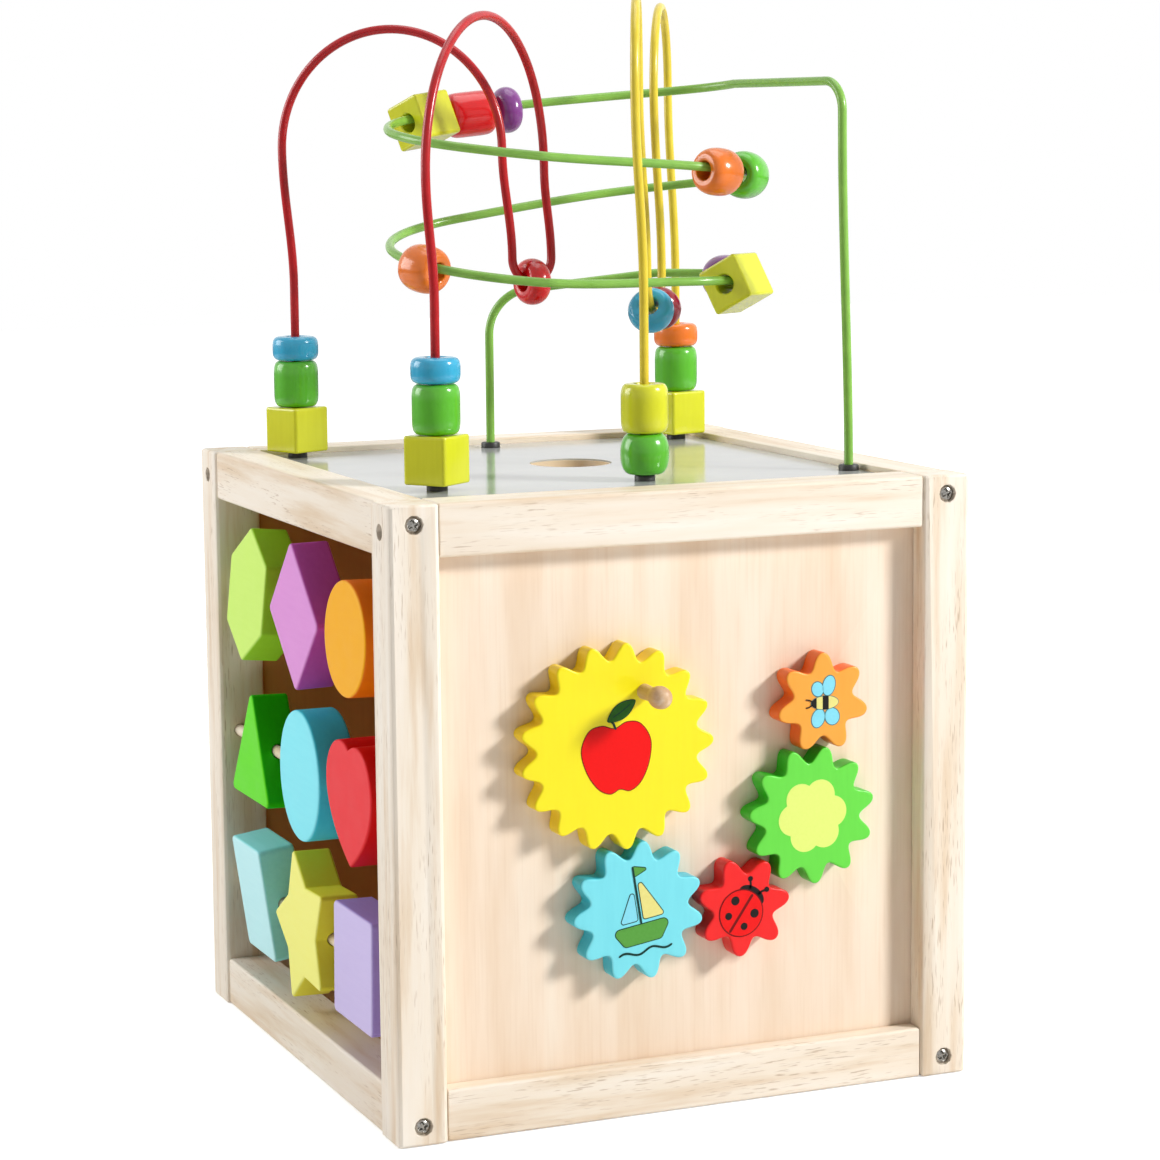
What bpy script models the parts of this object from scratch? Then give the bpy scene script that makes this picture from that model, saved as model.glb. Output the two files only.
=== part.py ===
"""Wooden activity cube: gear train, spinning shape blocks and a lift-off bead maze.

Metres, +Z up, front (gear) face towards -Y, open shape face towards -X.
The base centre is the origin and z = 0 is the floor.
"""
import math

import bmesh
import bpy
from mathutils import Matrix, Vector

# Driving sizes of the cube frame
CUBE = 0.300
POST = 0.025
POST_ROUND = 0.0022
EASE = 0.0010
RAIL_INSET = 0.0015
FIT = 0.0003
OVER = 0.0020
PANEL_RECESS = 0.0120
PANEL_THICK = 0.0080
GROOVE_DEPTH = 0.0030
LEDGE_WIDE = 0.0100
LEDGE_THICK = 0.0060
BOARD_THICK = 0.0090
BOARD_DROP = 0.0030
BASE_THICK = 0.0060
FINGER_HOLE = 0.0400
FINGER_AT = (0.008, 0.014)

# Fastener holes
SCREW_HEAD = 0.0084
SCREW_SHANK = 0.0040
SCREW_DEPTH = 0.0120
SCREW_EDGE = 0.0092
COUNTERBORE = 0.0025
BOLT_HEAD = 0.0072
BOLT_EDGE = 0.0130
BOLT_DEPTH = 0.0080

# Gear train
GEAR_THICK = 0.0115
GEAR_SKIN = 0.0030
TOOTH_HIGH = 0.0080
TOOTH_FLAT = 0.03
AXLE = 0.0080
BIG_TEETH, BIG_TIP = 17, 0.0495
MID_TEETH, MID_TIP = 11, 0.0338
SMALL_TEETH, SMALL_TIP = 7, 0.0244
TOOTH_OVERLAP = 0.0029
YELLOW_X = -0.0375
YELLOW_UP = 0.0303
YELLOW_PHASE = math.radians(84.5)
LINE_BLUE = math.radians(-82.8)
LINE_RED = math.radians(-3.9)
LINE_GREEN = math.radians(48.5)
LINE_ORANGE = math.radians(84.0)
SLACK_BLUE = math.radians(1.5)
SLACK_RED = math.radians(-2.5)
SLACK_GREEN = math.radians(2.0)
SLACK_ORANGE = math.radians(-5.4)
KNOB_RADIUS = 0.0289
KNOB_ANGLE = math.radians(62.4)
KNOB_HIGH = 0.0240
KNOB_STEM = 0.0072
KNOB_HEAD = 0.0110
TENON = 0.0060
TENON_DEEP = 0.0065

# Shape blocks on their rods
ROD = 0.0060
ROD_BORE = 0.0072
ROD_INSET = 0.0110
ROD_SEAT = 0.0115
ROW_EDGE = 0.0705
BLOCK_THICK = 0.0200
BLOCK_ROUND = 0.0030
STAR_ROUND = 0.0020

# What each block's half sizes, across and up, leave of half a row's height
HEXAGON_GAP = 0.00485
DIAMOND_GAP = (0.00075, 0.00185)
CIRCLE_GAP = (0.00975, 0.01175)
TRIANGLE_GAP = (0.00715, 0.01225, 0.00925)
OVAL_GAP = (0.00845, 0.00675)
HEART_GAP = (0.00665, 0.00925, 0.01015)
LOBE_SHARE = 0.656
LOBE_END = math.radians(16.0)
FLANK_PULL = 0.4
OBLONG_GAP = (0.01635, 0.00955)
STAR_GAP = (-0.00145, 0.01555)
STAR_TURN = math.radians(17.3)
SQUARE_GAP = (0.01185, 0.01200)

# Where the blocks sit on their rods: in from the rear post, off the middle, in from the front post
TOP_ROW_AT = (0.0484, -0.0022, 0.0432)
MIDDLE_ROW_AT = (0.0500, -0.0070, 0.0419)
BOTTOM_ROW_AT = (0.0490, -0.0030, 0.0406)

# Bent wires and their beads
WIRE = 0.0045
WIRE_SEAT = 0.0070
WIRE_SIDES = 8
ARCH_STEPS = 14
COIL_STEPS = 13
LEG_STEPS = 4
CAP = 0.0120
CAP_HIGH = 0.0030
BORE = 0.0098
HANG = 0.0019
BEAD = 0.0240
BEAD_SIDES = 14
BARREL_LONG = 0.0240
DISC_LONG = 0.0125
CUBE_BEAD = 0.0235
ROUND_LONG = 0.0200
RING_LONG = 0.0120
STACK_GAP = 0.0003
RED_REAR_IN = (0.0160, 0.0170)
RED_FRONT_IN = (0.0270, 0.0510)
RED_LOW = (-0.005, 0.032)
RED_LOW_TURN = math.radians(11.5)
RED_LOW_R = 0.0120
RED_LOW_UP = 0.0930
RED_PEAKS_UP = (0.2220, 0.2260)
RED_SWAY = (-0.0050, -0.0035)
YELLOW_FRONT_X = 0.0080
YELLOW_FRONT_IN = 0.0450
YELLOW_REAR_IN = (0.0150, 0.0190)
YELLOW_LOW = (0.0565, 0.015)
YELLOW_LOW_TURN = math.radians(55.0)
YELLOW_LOW_R = 0.0200
YELLOW_LOW_UP = 0.0760
YELLOW_PEAKS_UP = (0.2340, 0.2340)
YELLOW_SWAY = (-0.0040, -0.0040)
YELLOW_RING_LEAN = math.radians(29.0)
GREEN_FRONT_IN = (0.0070, 0.0410)
GREEN_REAR_IN = 0.0170
LEG_UP = 0.0900
COIL_CENTRE = (0.0095, 0.012)
COIL_HALF = 0.0385
COIL_R = 0.0570
COIL_UP = 0.1930
BARREL_IN = 0.0045
DISC_IN = 0.0255
COIL_DROPS = (0.0130, 0.0225, 0.0055, 0.0160, 0.0110, 0.0290, 0.0015, 0.0005, 0.0080)
COIL_EXIT = math.radians(58.5)
GREEN_LEAN = -0.0040
GREEN_BEND = 0.0150
GREEN_FOOT_BEND = 0.0250

# Sizes that follow from those above
HALF = CUBE / 2
INNER = HALF - POST
BOARD_TOP = CUBE - BOARD_DROP
BOARD_LOW = BOARD_TOP - BOARD_THICK
WIRE_END = BOARD_TOP - WIRE_SEAT + FIT
LEG_STRAIGHT = BOARD_TOP + LEG_UP
RED_REAR = (RED_REAR_IN[0] - INNER, INNER - RED_REAR_IN[1])
RED_FRONT = (RED_FRONT_IN[0] - INNER, RED_FRONT_IN[1] - INNER)
RED_LOW_Z = BOARD_TOP + RED_LOW_UP
RED_PEAKS = (BOARD_TOP + RED_PEAKS_UP[0], BOARD_TOP + RED_PEAKS_UP[1])
YELLOW_FRONT = (YELLOW_FRONT_X, YELLOW_FRONT_IN - INNER)
YELLOW_REAR = (INNER - YELLOW_REAR_IN[0], INNER - YELLOW_REAR_IN[1])
YELLOW_LOW_Z = BOARD_TOP + YELLOW_LOW_UP
YELLOW_PEAKS = (BOARD_TOP + YELLOW_PEAKS_UP[0], BOARD_TOP + YELLOW_PEAKS_UP[1])
GREEN_FRONT = (INNER - GREEN_FRONT_IN[0], GREEN_FRONT_IN[1] - INNER)
GREEN_REAR_Y = INNER - GREEN_REAR_IN
COIL_TOP = BOARD_TOP + COIL_UP
STACK_FLOOR = BOARD_TOP + CAP_HIGH + STACK_GAP
GEAR_FACE = -HALF
GEAR_BACK = GEAR_FACE + GEAR_THICK
YELLOW_AT = (YELLOW_X, CUBE / 2 + YELLOW_UP)
ROD_X = ROD_INSET - HALF
ROWS = (CUBE - ROW_EDGE, CUBE / 2, ROW_EDGE)
BLOCK_ROOM = CUBE / 4 - ROW_EDGE / 2
TAU = 2 * math.pi


# Scene and mesh helpers
def clear_scene():
    """Empty the start-up scene."""
    for obj in list(bpy.data.objects):
        bpy.data.objects.remove(obj, do_unlink=True)


def material(name, colour, roughness=0.5, metallic=0.0):
    """A Principled material from a linear colour."""
    mat = bpy.data.materials.new(name)
    mat.use_nodes = True
    shader = mat.node_tree.nodes["Principled BSDF"]
    shader.inputs["Base Color"].default_value = (*colour, 1.0)
    shader.inputs["Roughness"].default_value = roughness
    shader.inputs["Metallic"].default_value = metallic
    mat.diffuse_color = (*colour, 1.0)
    return mat


def finish(name, bm, mat, origin, angle=35.0):
    """Turn a bmesh in world coordinates into a named object set at its origin."""
    bmesh.ops.recalc_face_normals(bm, faces=bm.faces)
    if bm.calc_volume(signed=True) < 0:
        bmesh.ops.reverse_faces(bm, faces=bm.faces)
    bmesh.ops.translate(bm, verts=bm.verts, vec=-Vector(origin))
    mesh = bpy.data.meshes.new(name)
    bm.to_mesh(mesh)
    bm.free()
    for face in mesh.polygons:
        face.use_smooth = True
    mesh.set_sharp_from_angle(angle=math.radians(angle))
    obj = bpy.data.objects.new(name, mesh)
    obj.location = Vector(origin)
    bpy.context.scene.collection.objects.link(obj)
    if mat is not None:
        mesh.materials.append(mat)
    return obj


def add_rings(bm, rings, close=False):
    """Skin equal rings of points, with flat ends or closed on themselves."""
    rows = [[bm.verts.new(p) for p in ring] for ring in rings]
    count = len(rows[0])
    pairs = list(zip(rows, rows[1:]))
    if close:
        pairs.append((rows[-1], rows[0]))
    for low, high in pairs:
        for i in range(count):
            j = (i + 1) % count
            bm.faces.new((low[i], low[j], high[j], high[i]))
    if not close:
        bm.faces.new(rows[0][::-1])
        bm.faces.new(rows[-1])


def frame_along(axis):
    """Rotation whose local Z lies along the axis."""
    return Vector(axis).normalized().to_track_quat("Z", "Y").to_matrix()


def add_turned(bm, profile, centre, axis, sides, tube=False):
    """Revolve (radius, height) points, with flat ends or as a tube round a bore."""
    turn = frame_along(axis)
    rings = []
    for radius, height in profile:
        ring = []
        for k in range(sides):
            a = TAU * k / sides
            local = Vector((radius * math.cos(a), radius * math.sin(a), height))
            ring.append(Vector(centre) + turn @ local)
        rings.append(ring)
    add_rings(bm, rings, close=tube)


def add_rod(bm, start, end, radius, sides=12):
    """A plain cylinder between two points."""
    start, end = Vector(start), Vector(end)
    profile = [(radius, 0.0), (radius, (end - start).length)]
    add_turned(bm, profile, start, end - start, sides)


def add_box(bm, low, high):
    """A box between two corners."""
    (x0, y0, z0), (x1, y1, z1) = low, high
    lower = [(x0, y0, z0), (x1, y0, z0), (x1, y1, z0), (x0, y1, z0)]
    upper = [(x, y, z1) for x, y, _ in lower]
    add_rings(bm, [lower, upper])


def combine(obj, bm, operation):
    """Subtract the solids in a bmesh from an object, or join them to it, exactly."""
    tool = finish(obj.name + "_" + operation.lower(), bm, None, (0, 0, 0))
    tool.hide_render = True
    tool.display_type = "WIRE"
    mod = obj.modifiers.new(operation.lower(), "BOOLEAN")
    mod.operation = operation
    mod.solver = "EXACT"
    mod.object = tool


# Outlines
def offset(loop, distance):
    """Move a closed 2-D outline inwards by a distance."""
    area = sum(a[0] * b[1] - b[0] * a[1] for a, b in zip(loop, loop[1:] + loop[:1]))
    side = 1.0 if area > 0 else -1.0
    out = []
    for i, (u, v) in enumerate(loop):
        pu, pv = loop[i - 1]
        nu, nv = loop[(i + 1) % len(loop)]
        d0 = Vector((u - pu, v - pv)).normalized()
        d1 = Vector((nu - u, nv - v)).normalized()
        normal = Vector((-(d0.y + d1.y), d0.x + d1.x)).normalized() * side
        lean = max(0.5, normal.dot(Vector((-d0.y, d0.x)) * side))
        out.append((u + normal.x * distance / lean, v + normal.y * distance / lean))
    return out


def rounded(points, radius, steps):
    """A polygon whose corners are arcs of one radius."""
    out = []
    for i, corner in enumerate(points):
        here = Vector(corner)
        before = (Vector(points[i - 1]) - here).normalized()
        after = (Vector(points[(i + 1) % len(points)]) - here).normalized()
        half = before.angle(after) / 2
        reach = radius / math.tan(half)
        centre = here + (before + after).normalized() * radius / math.sin(half)
        start = here + before * reach - centre
        end = here + after * reach - centre
        sweep = start.angle_signed(end)
        for k in range(steps + 1):
            turned = Matrix.Rotation(-sweep * k / steps, 2) @ start
            out.append(tuple(centre + turned))
    return out


def polygon(count, radius, start):
    """Corners of a regular polygon."""
    return [(radius * math.cos(start + TAU * k / count), radius * math.sin(start + TAU * k / count))
            for k in range(count)]


def star(radius, inner, turn):
    """Corners of a five-pointed star, turned from upright."""
    return [((radius, inner)[k % 2] * math.sin(turn + k * TAU / 10),
             (radius, inner)[k % 2] * math.cos(turn + k * TAU / 10)) for k in range(10)]


def ellipse(wide, high, steps):
    """Points of an ellipse from its half sizes."""
    return [(wide * math.cos(TAU * k / steps), high * math.sin(TAU * k / steps))
            for k in range(steps)]


def heart(wide, low, high, steps):
    """Two round lobes that meet in a shallow notch, over flanks that curve in to the tip."""
    lobe = wide * LOBE_SHARE
    middle = Vector((wide - lobe, high - lobe))
    notch = math.pi - math.acos(middle.x / lobe)
    side = []
    for k in range(steps + 1):
        a = notch - (notch + LOBE_END) * k / steps
        side.append(middle + lobe * Vector((math.cos(a), math.sin(a))))
    end, tip = side[-1], Vector((0.0, -low))
    fall = Vector((-math.sin(LOBE_END), -math.cos(LOBE_END)))
    bulge = end + fall * FLANK_PULL * (end - tip).length
    for k in range(1, steps + 1):
        t = k / steps
        side.append(end.lerp(bulge, t).lerp(bulge.lerp(tip, t), t))
    return [tuple(p) for p in side] + [(-p.x, p.y) for p in side[-2:0:-1]]


def gear_outline(teeth, tip, phase):
    """Rounded wooden teeth: a cosine wave, flattened by a little third harmonic."""
    mid = tip - TOOTH_HIGH / 2
    steps = teeth * 6
    out = []
    for k in range(steps):
        a = TAU * k / steps
        wave = (math.cos(teeth * a) - TOOTH_FLAT * math.cos(3 * teeth * a)) / (1 - TOOTH_FLAT)
        radius = mid + TOOTH_HIGH / 2 * wave
        out.append((radius * math.cos(a + phase), radius * math.sin(a + phase)))
    return out


# Wooden frame
def make_post(name, sx, sy, mat):
    """One corner post with its panel grooves, screw, bolt and rod holes."""
    cx, cy = sx * (HALF - POST / 2), sy * (HALF - POST / 2)
    square = [(-POST / 2, -POST / 2), (POST / 2, -POST / 2), (POST / 2, POST / 2), (-POST / 2, POST / 2)]
    loop = rounded(square, POST_ROUND, 2)
    small = offset(loop, EASE)
    rings = []
    for ring, z in ((small, 0.0), (loop, EASE), (loop, CUBE - EASE), (small, CUBE)):
        rings.append([(cx + u, cy + v, z) for u, v in ring])
    bm = bmesh.new()
    add_rings(bm, rings)
    obj = finish(name, bm, mat, (cx, cy, 0.0))
    holes = bmesh.new()
    add_groove(holes, sx, sy, along_x=True)
    if sx > 0:
        add_groove(holes, sx, sy, along_x=False)
    for z in (SCREW_EDGE, CUBE - SCREW_EDGE):
        face = Vector((cx, sy * HALF, z))
        inward = Vector((0, -sy, 0))
        r0, r1 = SCREW_HEAD / 2 + FIT, SCREW_SHANK / 2 + FIT
        profile = [(r0, -OVER), (r0, COUNTERBORE), (r1, COUNTERBORE), (r1, SCREW_DEPTH)]
        add_turned(holes, profile, face, inward, 10)
    add_rod(holes, (sx * (HALF + OVER), cy, CUBE - BOLT_EDGE),
            (sx * (HALF - BOLT_DEPTH), cy, CUBE - BOLT_EDGE), BOLT_HEAD / 2 + FIT)
    if sx < 0:
        for z in ROWS:
            add_rod(holes, (ROD_X, sy * (INNER - OVER), z),
                    (ROD_X, sy * (INNER + ROD_SEAT), z), ROD / 2 + FIT)
    combine(obj, holes, "DIFFERENCE")
    return obj


def add_groove(bm, sx, sy, along_x):
    """The slot in a post that takes a panel edge."""
    near, far = HALF - PANEL_RECESS + FIT, HALF - PANEL_RECESS - PANEL_THICK - FIT
    mouth, floor = INNER - OVER, INNER + GROOVE_DEPTH
    z0, z1 = POST - GROOVE_DEPTH, CUBE - POST + GROOVE_DEPTH
    a, b = (sx * mouth, sx * floor), (sy * near, sy * far)
    if not along_x:
        a, b = (sx * near, sx * far), (sy * mouth, sy * floor)
    add_box(bm, (min(a), min(b), z0), (max(a), max(b), z1))


def rail_section(low, grooved, ledge):
    """Cross-section (distance in from the cube's face, height) of a rail."""
    depth, near = POST, PANEL_RECESS - FIT
    far, slot = PANEL_RECESS + PANEL_THICK + FIT, POST - GROOVE_DEPTH
    e = EASE
    loop = [(RAIL_INSET + e, 0.0), (RAIL_INSET, e), (RAIL_INSET, POST - e), (RAIL_INSET + e, POST)]
    if grooved:
        loop += [(near, POST), (near, slot), (far, slot), (far, POST)]
    loop += [(depth, POST)]
    if ledge:
        seat = BASE_THICK + FIT if low else CUBE - BOARD_LOW + FIT
        loop += [(depth, seat + LEDGE_THICK), (depth + LEDGE_WIDE, seat + LEDGE_THICK)]
        loop += [(depth + LEDGE_WIDE, seat), (depth, seat)]
    loop += [(depth, 0.0)]
    if low:
        return loop
    return [(a, CUBE - h) for a, h in loop]


def add_rail(bm, side, low, grooved, ledge):
    """A rail between two posts on one side: front, rear, left or right."""
    section = rail_section(low, grooved, ledge)
    length = INNER - FIT
    rings = []
    for s in (-length, length):
        ring = []
        for a, z in section:
            d = HALF - a
            spot = {"front": (s, -d, z), "rear": (-s, d, z), "left": (-d, -s, z), "right": (d, s, z)}
            ring.append(spot[side])
        rings.append(ring)
    add_rings(bm, rings)


def make_frame(mats):
    """Posts, rails and panels of the box."""
    wood, ply = mats["beech"], mats["plywood"]
    make_post("post_front_left", -1, -1, wood)
    make_post("post_front_right", 1, -1, wood)
    make_post("post_rear_left", -1, 1, wood)
    make_post("post_rear_right", 1, 1, wood)
    for side in ("front", "rear", "left", "right"):
        for low, name in ((True, "bottom_rail_"), (False, "top_rail_")):
            bm = bmesh.new()
            add_rail(bm, side, low, side != "left", side in ("front", "rear"))
            finish(name + side, bm, wood, (0, 0, 0))
    make_panels(ply)


def make_panels(ply):
    """Three grooved side panels and the base panel."""
    reach = INNER + GROOVE_DEPTH - FIT
    z0, z1 = POST - GROOVE_DEPTH + FIT, CUBE - POST + GROOVE_DEPTH - FIT
    near, far = HALF - PANEL_RECESS, HALF - PANEL_RECESS - PANEL_THICK
    front = bmesh.new()
    add_box(front, (-reach, -near, z0), (reach, -far, z1))
    obj = finish("front_panel", front, ply, (0, -near, 0))
    pins = bmesh.new()
    for x, z in gear_centres().values():
        add_rod(pins, (x, GEAR_FACE + GEAR_SKIN + FIT, z), (x, -far - OVER, z), AXLE / 2, 14)
    combine(obj, pins, "UNION")
    rear = bmesh.new()
    add_box(rear, (-reach, far, z0), (reach, near, z1))
    finish("rear_panel", rear, ply, (0, near, 0))
    right = bmesh.new()
    add_box(right, (far, -reach, z0), (near, reach, z1))
    finish("right_panel", right, ply, (near, 0, 0))
    base = bmesh.new()
    edge = INNER - FIT
    add_box(base, (-edge, -edge, 0.0), (edge, edge, BASE_THICK))
    finish("base_panel", base, ply, (0, 0, 0))


# Gear train
def gear_centres():
    """Gear centres (x, z), each from its neighbour along a line of centres."""
    def follow(at, angle, tip_a, tip_b):
        reach = tip_a + tip_b - TOOTH_OVERLAP
        return (at[0] + reach * math.cos(angle), at[1] + reach * math.sin(angle))
    blue = follow(YELLOW_AT, LINE_BLUE, BIG_TIP, MID_TIP)
    red = follow(blue, LINE_RED, MID_TIP, SMALL_TIP)
    green = follow(red, LINE_GREEN, SMALL_TIP, MID_TIP)
    orange = follow(green, LINE_ORANGE, MID_TIP, SMALL_TIP)
    return {"yellow": YELLOW_AT, "blue": blue, "red": red, "green": green, "orange": orange}


def gear_phases():
    """Tooth phases: each gear's tooth stands in its neighbour's gap, off its middle by the slack."""
    def mesh(phase, teeth_a, angle, teeth_b, slack):
        return angle + math.pi + (teeth_a * (angle - phase) - math.pi) / teeth_b + slack
    blue = mesh(YELLOW_PHASE, BIG_TEETH, LINE_BLUE, MID_TEETH, SLACK_BLUE)
    red = mesh(blue, MID_TEETH, LINE_RED, SMALL_TEETH, SLACK_RED)
    green = mesh(red, SMALL_TEETH, LINE_GREEN, MID_TEETH, SLACK_GREEN)
    orange = mesh(green, MID_TEETH, LINE_ORANGE, SMALL_TEETH, SLACK_ORANGE)
    return {"yellow": YELLOW_PHASE, "blue": blue, "red": red, "green": green, "orange": orange}


def gear_sizes():
    """Teeth and tip radius by gear."""
    big, mid, small = (BIG_TEETH, BIG_TIP), (MID_TEETH, MID_TIP), (SMALL_TEETH, SMALL_TIP)
    return {"yellow": big, "blue": mid, "red": small, "green": mid, "orange": small}


def make_gears(mats):
    """Five plywood gears with blind bores for the panel's axle pins, and the crank knob."""
    phases, sizes = gear_phases(), gear_sizes()
    for key, (x, z) in gear_centres().items():
        teeth, tip = sizes[key]
        loop = gear_outline(teeth, tip, phases[key])
        small = offset(loop, EASE * 0.7)
        rings = []
        for ring, y in ((loop, GEAR_BACK), (loop, GEAR_FACE + EASE * 0.7), (small, GEAR_FACE)):
            rings.append([(x + u, y, z + v) for u, v in ring])
        bm = bmesh.new()
        add_rings(bm, rings)
        obj = finish("gear_" + key, bm, mats["paint_" + key], (x, GEAR_BACK, z), 30)
        hole = bmesh.new()
        add_rod(hole, (x, GEAR_BACK + OVER, z), (x, GEAR_FACE + GEAR_SKIN, z), AXLE / 2 + FIT, 14)
        if key == "yellow":
            kx, kz = knob_centre()
            add_rod(hole, (kx, GEAR_FACE - OVER, kz), (kx, GEAR_FACE + TENON_DEEP + FIT, kz),
                    TENON / 2 + FIT)
        combine(obj, hole, "DIFFERENCE")
    make_knob(mats["beech_knob"])


def knob_centre():
    """Where the crank knob stands on the yellow gear (x, z)."""
    x, z = YELLOW_AT
    return (x + KNOB_RADIUS * math.cos(KNOB_ANGLE), z + KNOB_RADIUS * math.sin(KNOB_ANGLE))


def make_knob(mat):
    """Turned mushroom knob with a tenon in the gear."""
    x, z = knob_centre()
    h = KNOB_HIGH
    stem, head = KNOB_STEM / 2, KNOB_HEAD / 2
    profile = [(TENON / 2, -TENON_DEEP), (TENON / 2, FIT), (stem * 1.05, FIT)]
    profile += [(stem, h * 0.30), (stem * 1.05, h * 0.52), (head * 0.91, h * 0.62), (head, h * 0.74)]
    profile += [(head * 0.94, h * 0.86), (head * 0.69, h * 0.96), (head * 0.25, h)]
    bm = bmesh.new()
    add_turned(bm, profile, (x, GEAR_FACE, z), (0, -1, 0), 14)
    finish("crank_knob", bm, mat, (x, GEAR_FACE, z), 50)


# Shape blocks
def half(gap):
    """Half sizes of a block: half a row's height less what the block leaves of it."""
    return [BLOCK_ROOM - g for g in gap]


def corners(wide, high):
    """The corners of a rectangle from its half sizes."""
    return [(-wide, -high), (wide, -high), (wide, high), (-wide, high)]


def row_places(at):
    """Places along a rod, from its rear, middle and front values."""
    rear, middle, front = at
    return (INNER - rear, middle, front - INNER)


def block_specs():
    """Name, row, place on the rod, rest tilt (degrees), colour key and outline of each block."""
    top, middle, bottom = (row_places(at) for at in (TOP_ROW_AT, MIDDLE_ROW_AT, BOTTOM_ROW_AT))
    wide, high = half(DIAMOND_GAP)
    diamond = [(wide, 0.0), (0.0, high), (-wide, 0.0), (0.0, -high)]
    foot, down, up = half(TRIANGLE_GAP)
    triangle = [(-foot, -down), (foot, -down), (0.0, up)]
    hexagon = polygon(6, BLOCK_ROOM - HEXAGON_GAP, TAU / 4)
    return [
        ("hexagon", 0, top[0], 5.7, "lime", rounded(hexagon, BLOCK_ROUND, 2)),
        ("diamond", 0, top[1], -1.0, "violet", rounded(diamond, BLOCK_ROUND, 2)),
        ("circle", 0, top[2], 1.7, "amber", ellipse(*half(CIRCLE_GAP), 28)),
        ("triangle", 1, middle[0], 1.6, "leaf", rounded(triangle, BLOCK_ROUND, 3)),
        ("oval", 1, middle[1], 0.0, "sky", ellipse(*half(OVAL_GAP), 28)),
        ("heart", 1, middle[2], -0.3, "cherry", heart(*half(HEART_GAP), 8)),
        ("oblong", 2, bottom[0], -8.0, "aqua", rounded(corners(*half(OBLONG_GAP)), BLOCK_ROUND, 2)),
        ("star", 2, bottom[1], 1.2, "lemon", rounded(star(*half(STAR_GAP), STAR_TURN), STAR_ROUND, 2)),
        ("square", 2, bottom[2], 0.8, "lilac", rounded(corners(*half(SQUARE_GAP)), BLOCK_ROUND, 2)),
    ]


def make_blocks(mats):
    """Nine painted blocks bored along Y for their rods."""
    for name, row, place, tilt, colour, loop in block_specs():
        centre = Vector((ROD_X, place, ROWS[row]))
        turn = Matrix.Rotation(math.radians(tilt), 3, "Y")
        small = offset(loop, EASE * 1.3)
        t, e = BLOCK_THICK / 2, EASE * 1.3
        rings = []
        for ring, x in ((small, -t), (loop, e - t), (loop, t - e), (small, t)):
            rings.append([centre + turn @ Vector((x, u, v)) for u, v in ring])
        bm = bmesh.new()
        add_rings(bm, rings)
        obj = finish("block_" + name, bm, mats["paint_" + colour], centre, 30)
        hole = bmesh.new()
        reach = Vector((0, max(abs(u) for u, _ in loop) + OVER, 0))
        add_rod(hole, centre - reach, centre + reach, ROD_BORE / 2)
        combine(obj, hole, "DIFFERENCE")
    reach = INNER + ROD_SEAT - FIT
    for name, z in zip(("top", "middle", "bottom"), ROWS):
        bm = bmesh.new()
        add_rod(bm, (ROD_X, -reach, z), (ROD_X, reach, z), ROD / 2)
        finish("shape_rod_" + name, bm, mats["beech_dowel"], (ROD_X, 0, z))


# Wire paths
def line(start, end, steps=1):
    """Points along a straight, without its first."""
    start, end = Vector(start), Vector(end)
    return [start.lerp(end, k / steps) for k in range(1, steps + 1)]


def arc(centre, out, along, radius, a0, a1, steps):
    """Points on an arc in the plane of two unit vectors, without its first."""
    centre, out, along = Vector(centre), Vector(out), Vector(along)
    angles = [a0 + (a1 - a0) * k / steps for k in range(1, steps + 1)]
    return [centre + out * radius * math.cos(a) + along * radius * math.sin(a) for a in angles]


def bowed(start, end, steps):
    """Points of a leg that shifts sideways with a smooth start and finish, without its first."""
    start, end = Vector(start), Vector(end)
    out = []
    for k in range(1, steps + 1):
        t = k / steps
        ease = (1 - math.cos(math.pi * t)) / 2
        spot = start.lerp(end, ease)
        out.append(Vector((spot.x, spot.y, start.z + (end.z - start.z) * t)))
    return out


def arch_path(feet, low_at, low_turn, low_r, low_z, peaks, sway):
    """Leg, half-circle arch, leg, low half turn, leg, half-circle arch, leg."""
    along = Vector((math.cos(low_turn), math.sin(low_turn), 0))
    up = Vector((0, 0, 1))
    start, end = Vector((*feet[0], WIRE_END)), Vector((*feet[1], WIRE_END))
    low = Vector((*low_at, low_z + low_r))
    legs = [low - along * low_r, low + along * low_r]
    points = [start]
    span = Vector((legs[0].x - start.x, legs[0].y - start.y, 0))
    r = span.length / 2
    middle = start + span / 2 + Vector((sway[0], 0, 0))
    middle.z = peaks[0] - r
    side = span.normalized()
    points += line(start, (start.x, start.y, LEG_STRAIGHT))
    points += bowed(points[-1], middle - side * r, LEG_STEPS)
    points += arc(middle, -side, up, r, 0, math.pi, ARCH_STEPS)
    points += bowed(points[-1], legs[0], LEG_STEPS)
    points += arc(low, -along, up, low_r, 0, -math.pi, 10)
    span = Vector((end.x - legs[1].x, end.y - legs[1].y, 0))
    r = span.length / 2
    middle = legs[1] + span / 2 + Vector((sway[1], 0, 0))
    middle.z = peaks[1] - r
    side = span.normalized()
    points += bowed(legs[1], middle - side * r, LEG_STEPS)
    points += arc(middle, -side, up, r, 0, math.pi, ARCH_STEPS)
    points += bowed(points[-1], (end.x, end.y, LEG_STRAIGHT), LEG_STEPS)
    points += line(points[-1], end)
    return points


def coil_tangent():
    """Angle on the right-hand end circle where the lead-in touches it."""
    cx, cy = COIL_CENTRE[0] + COIL_HALF, COIL_CENTRE[1]
    dx, dy = GREEN_FRONT[0] - cx, GREEN_FRONT[1] - cy
    return math.atan2(dy, dx) + math.acos(COIL_R / math.hypot(dx, dy))


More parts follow.
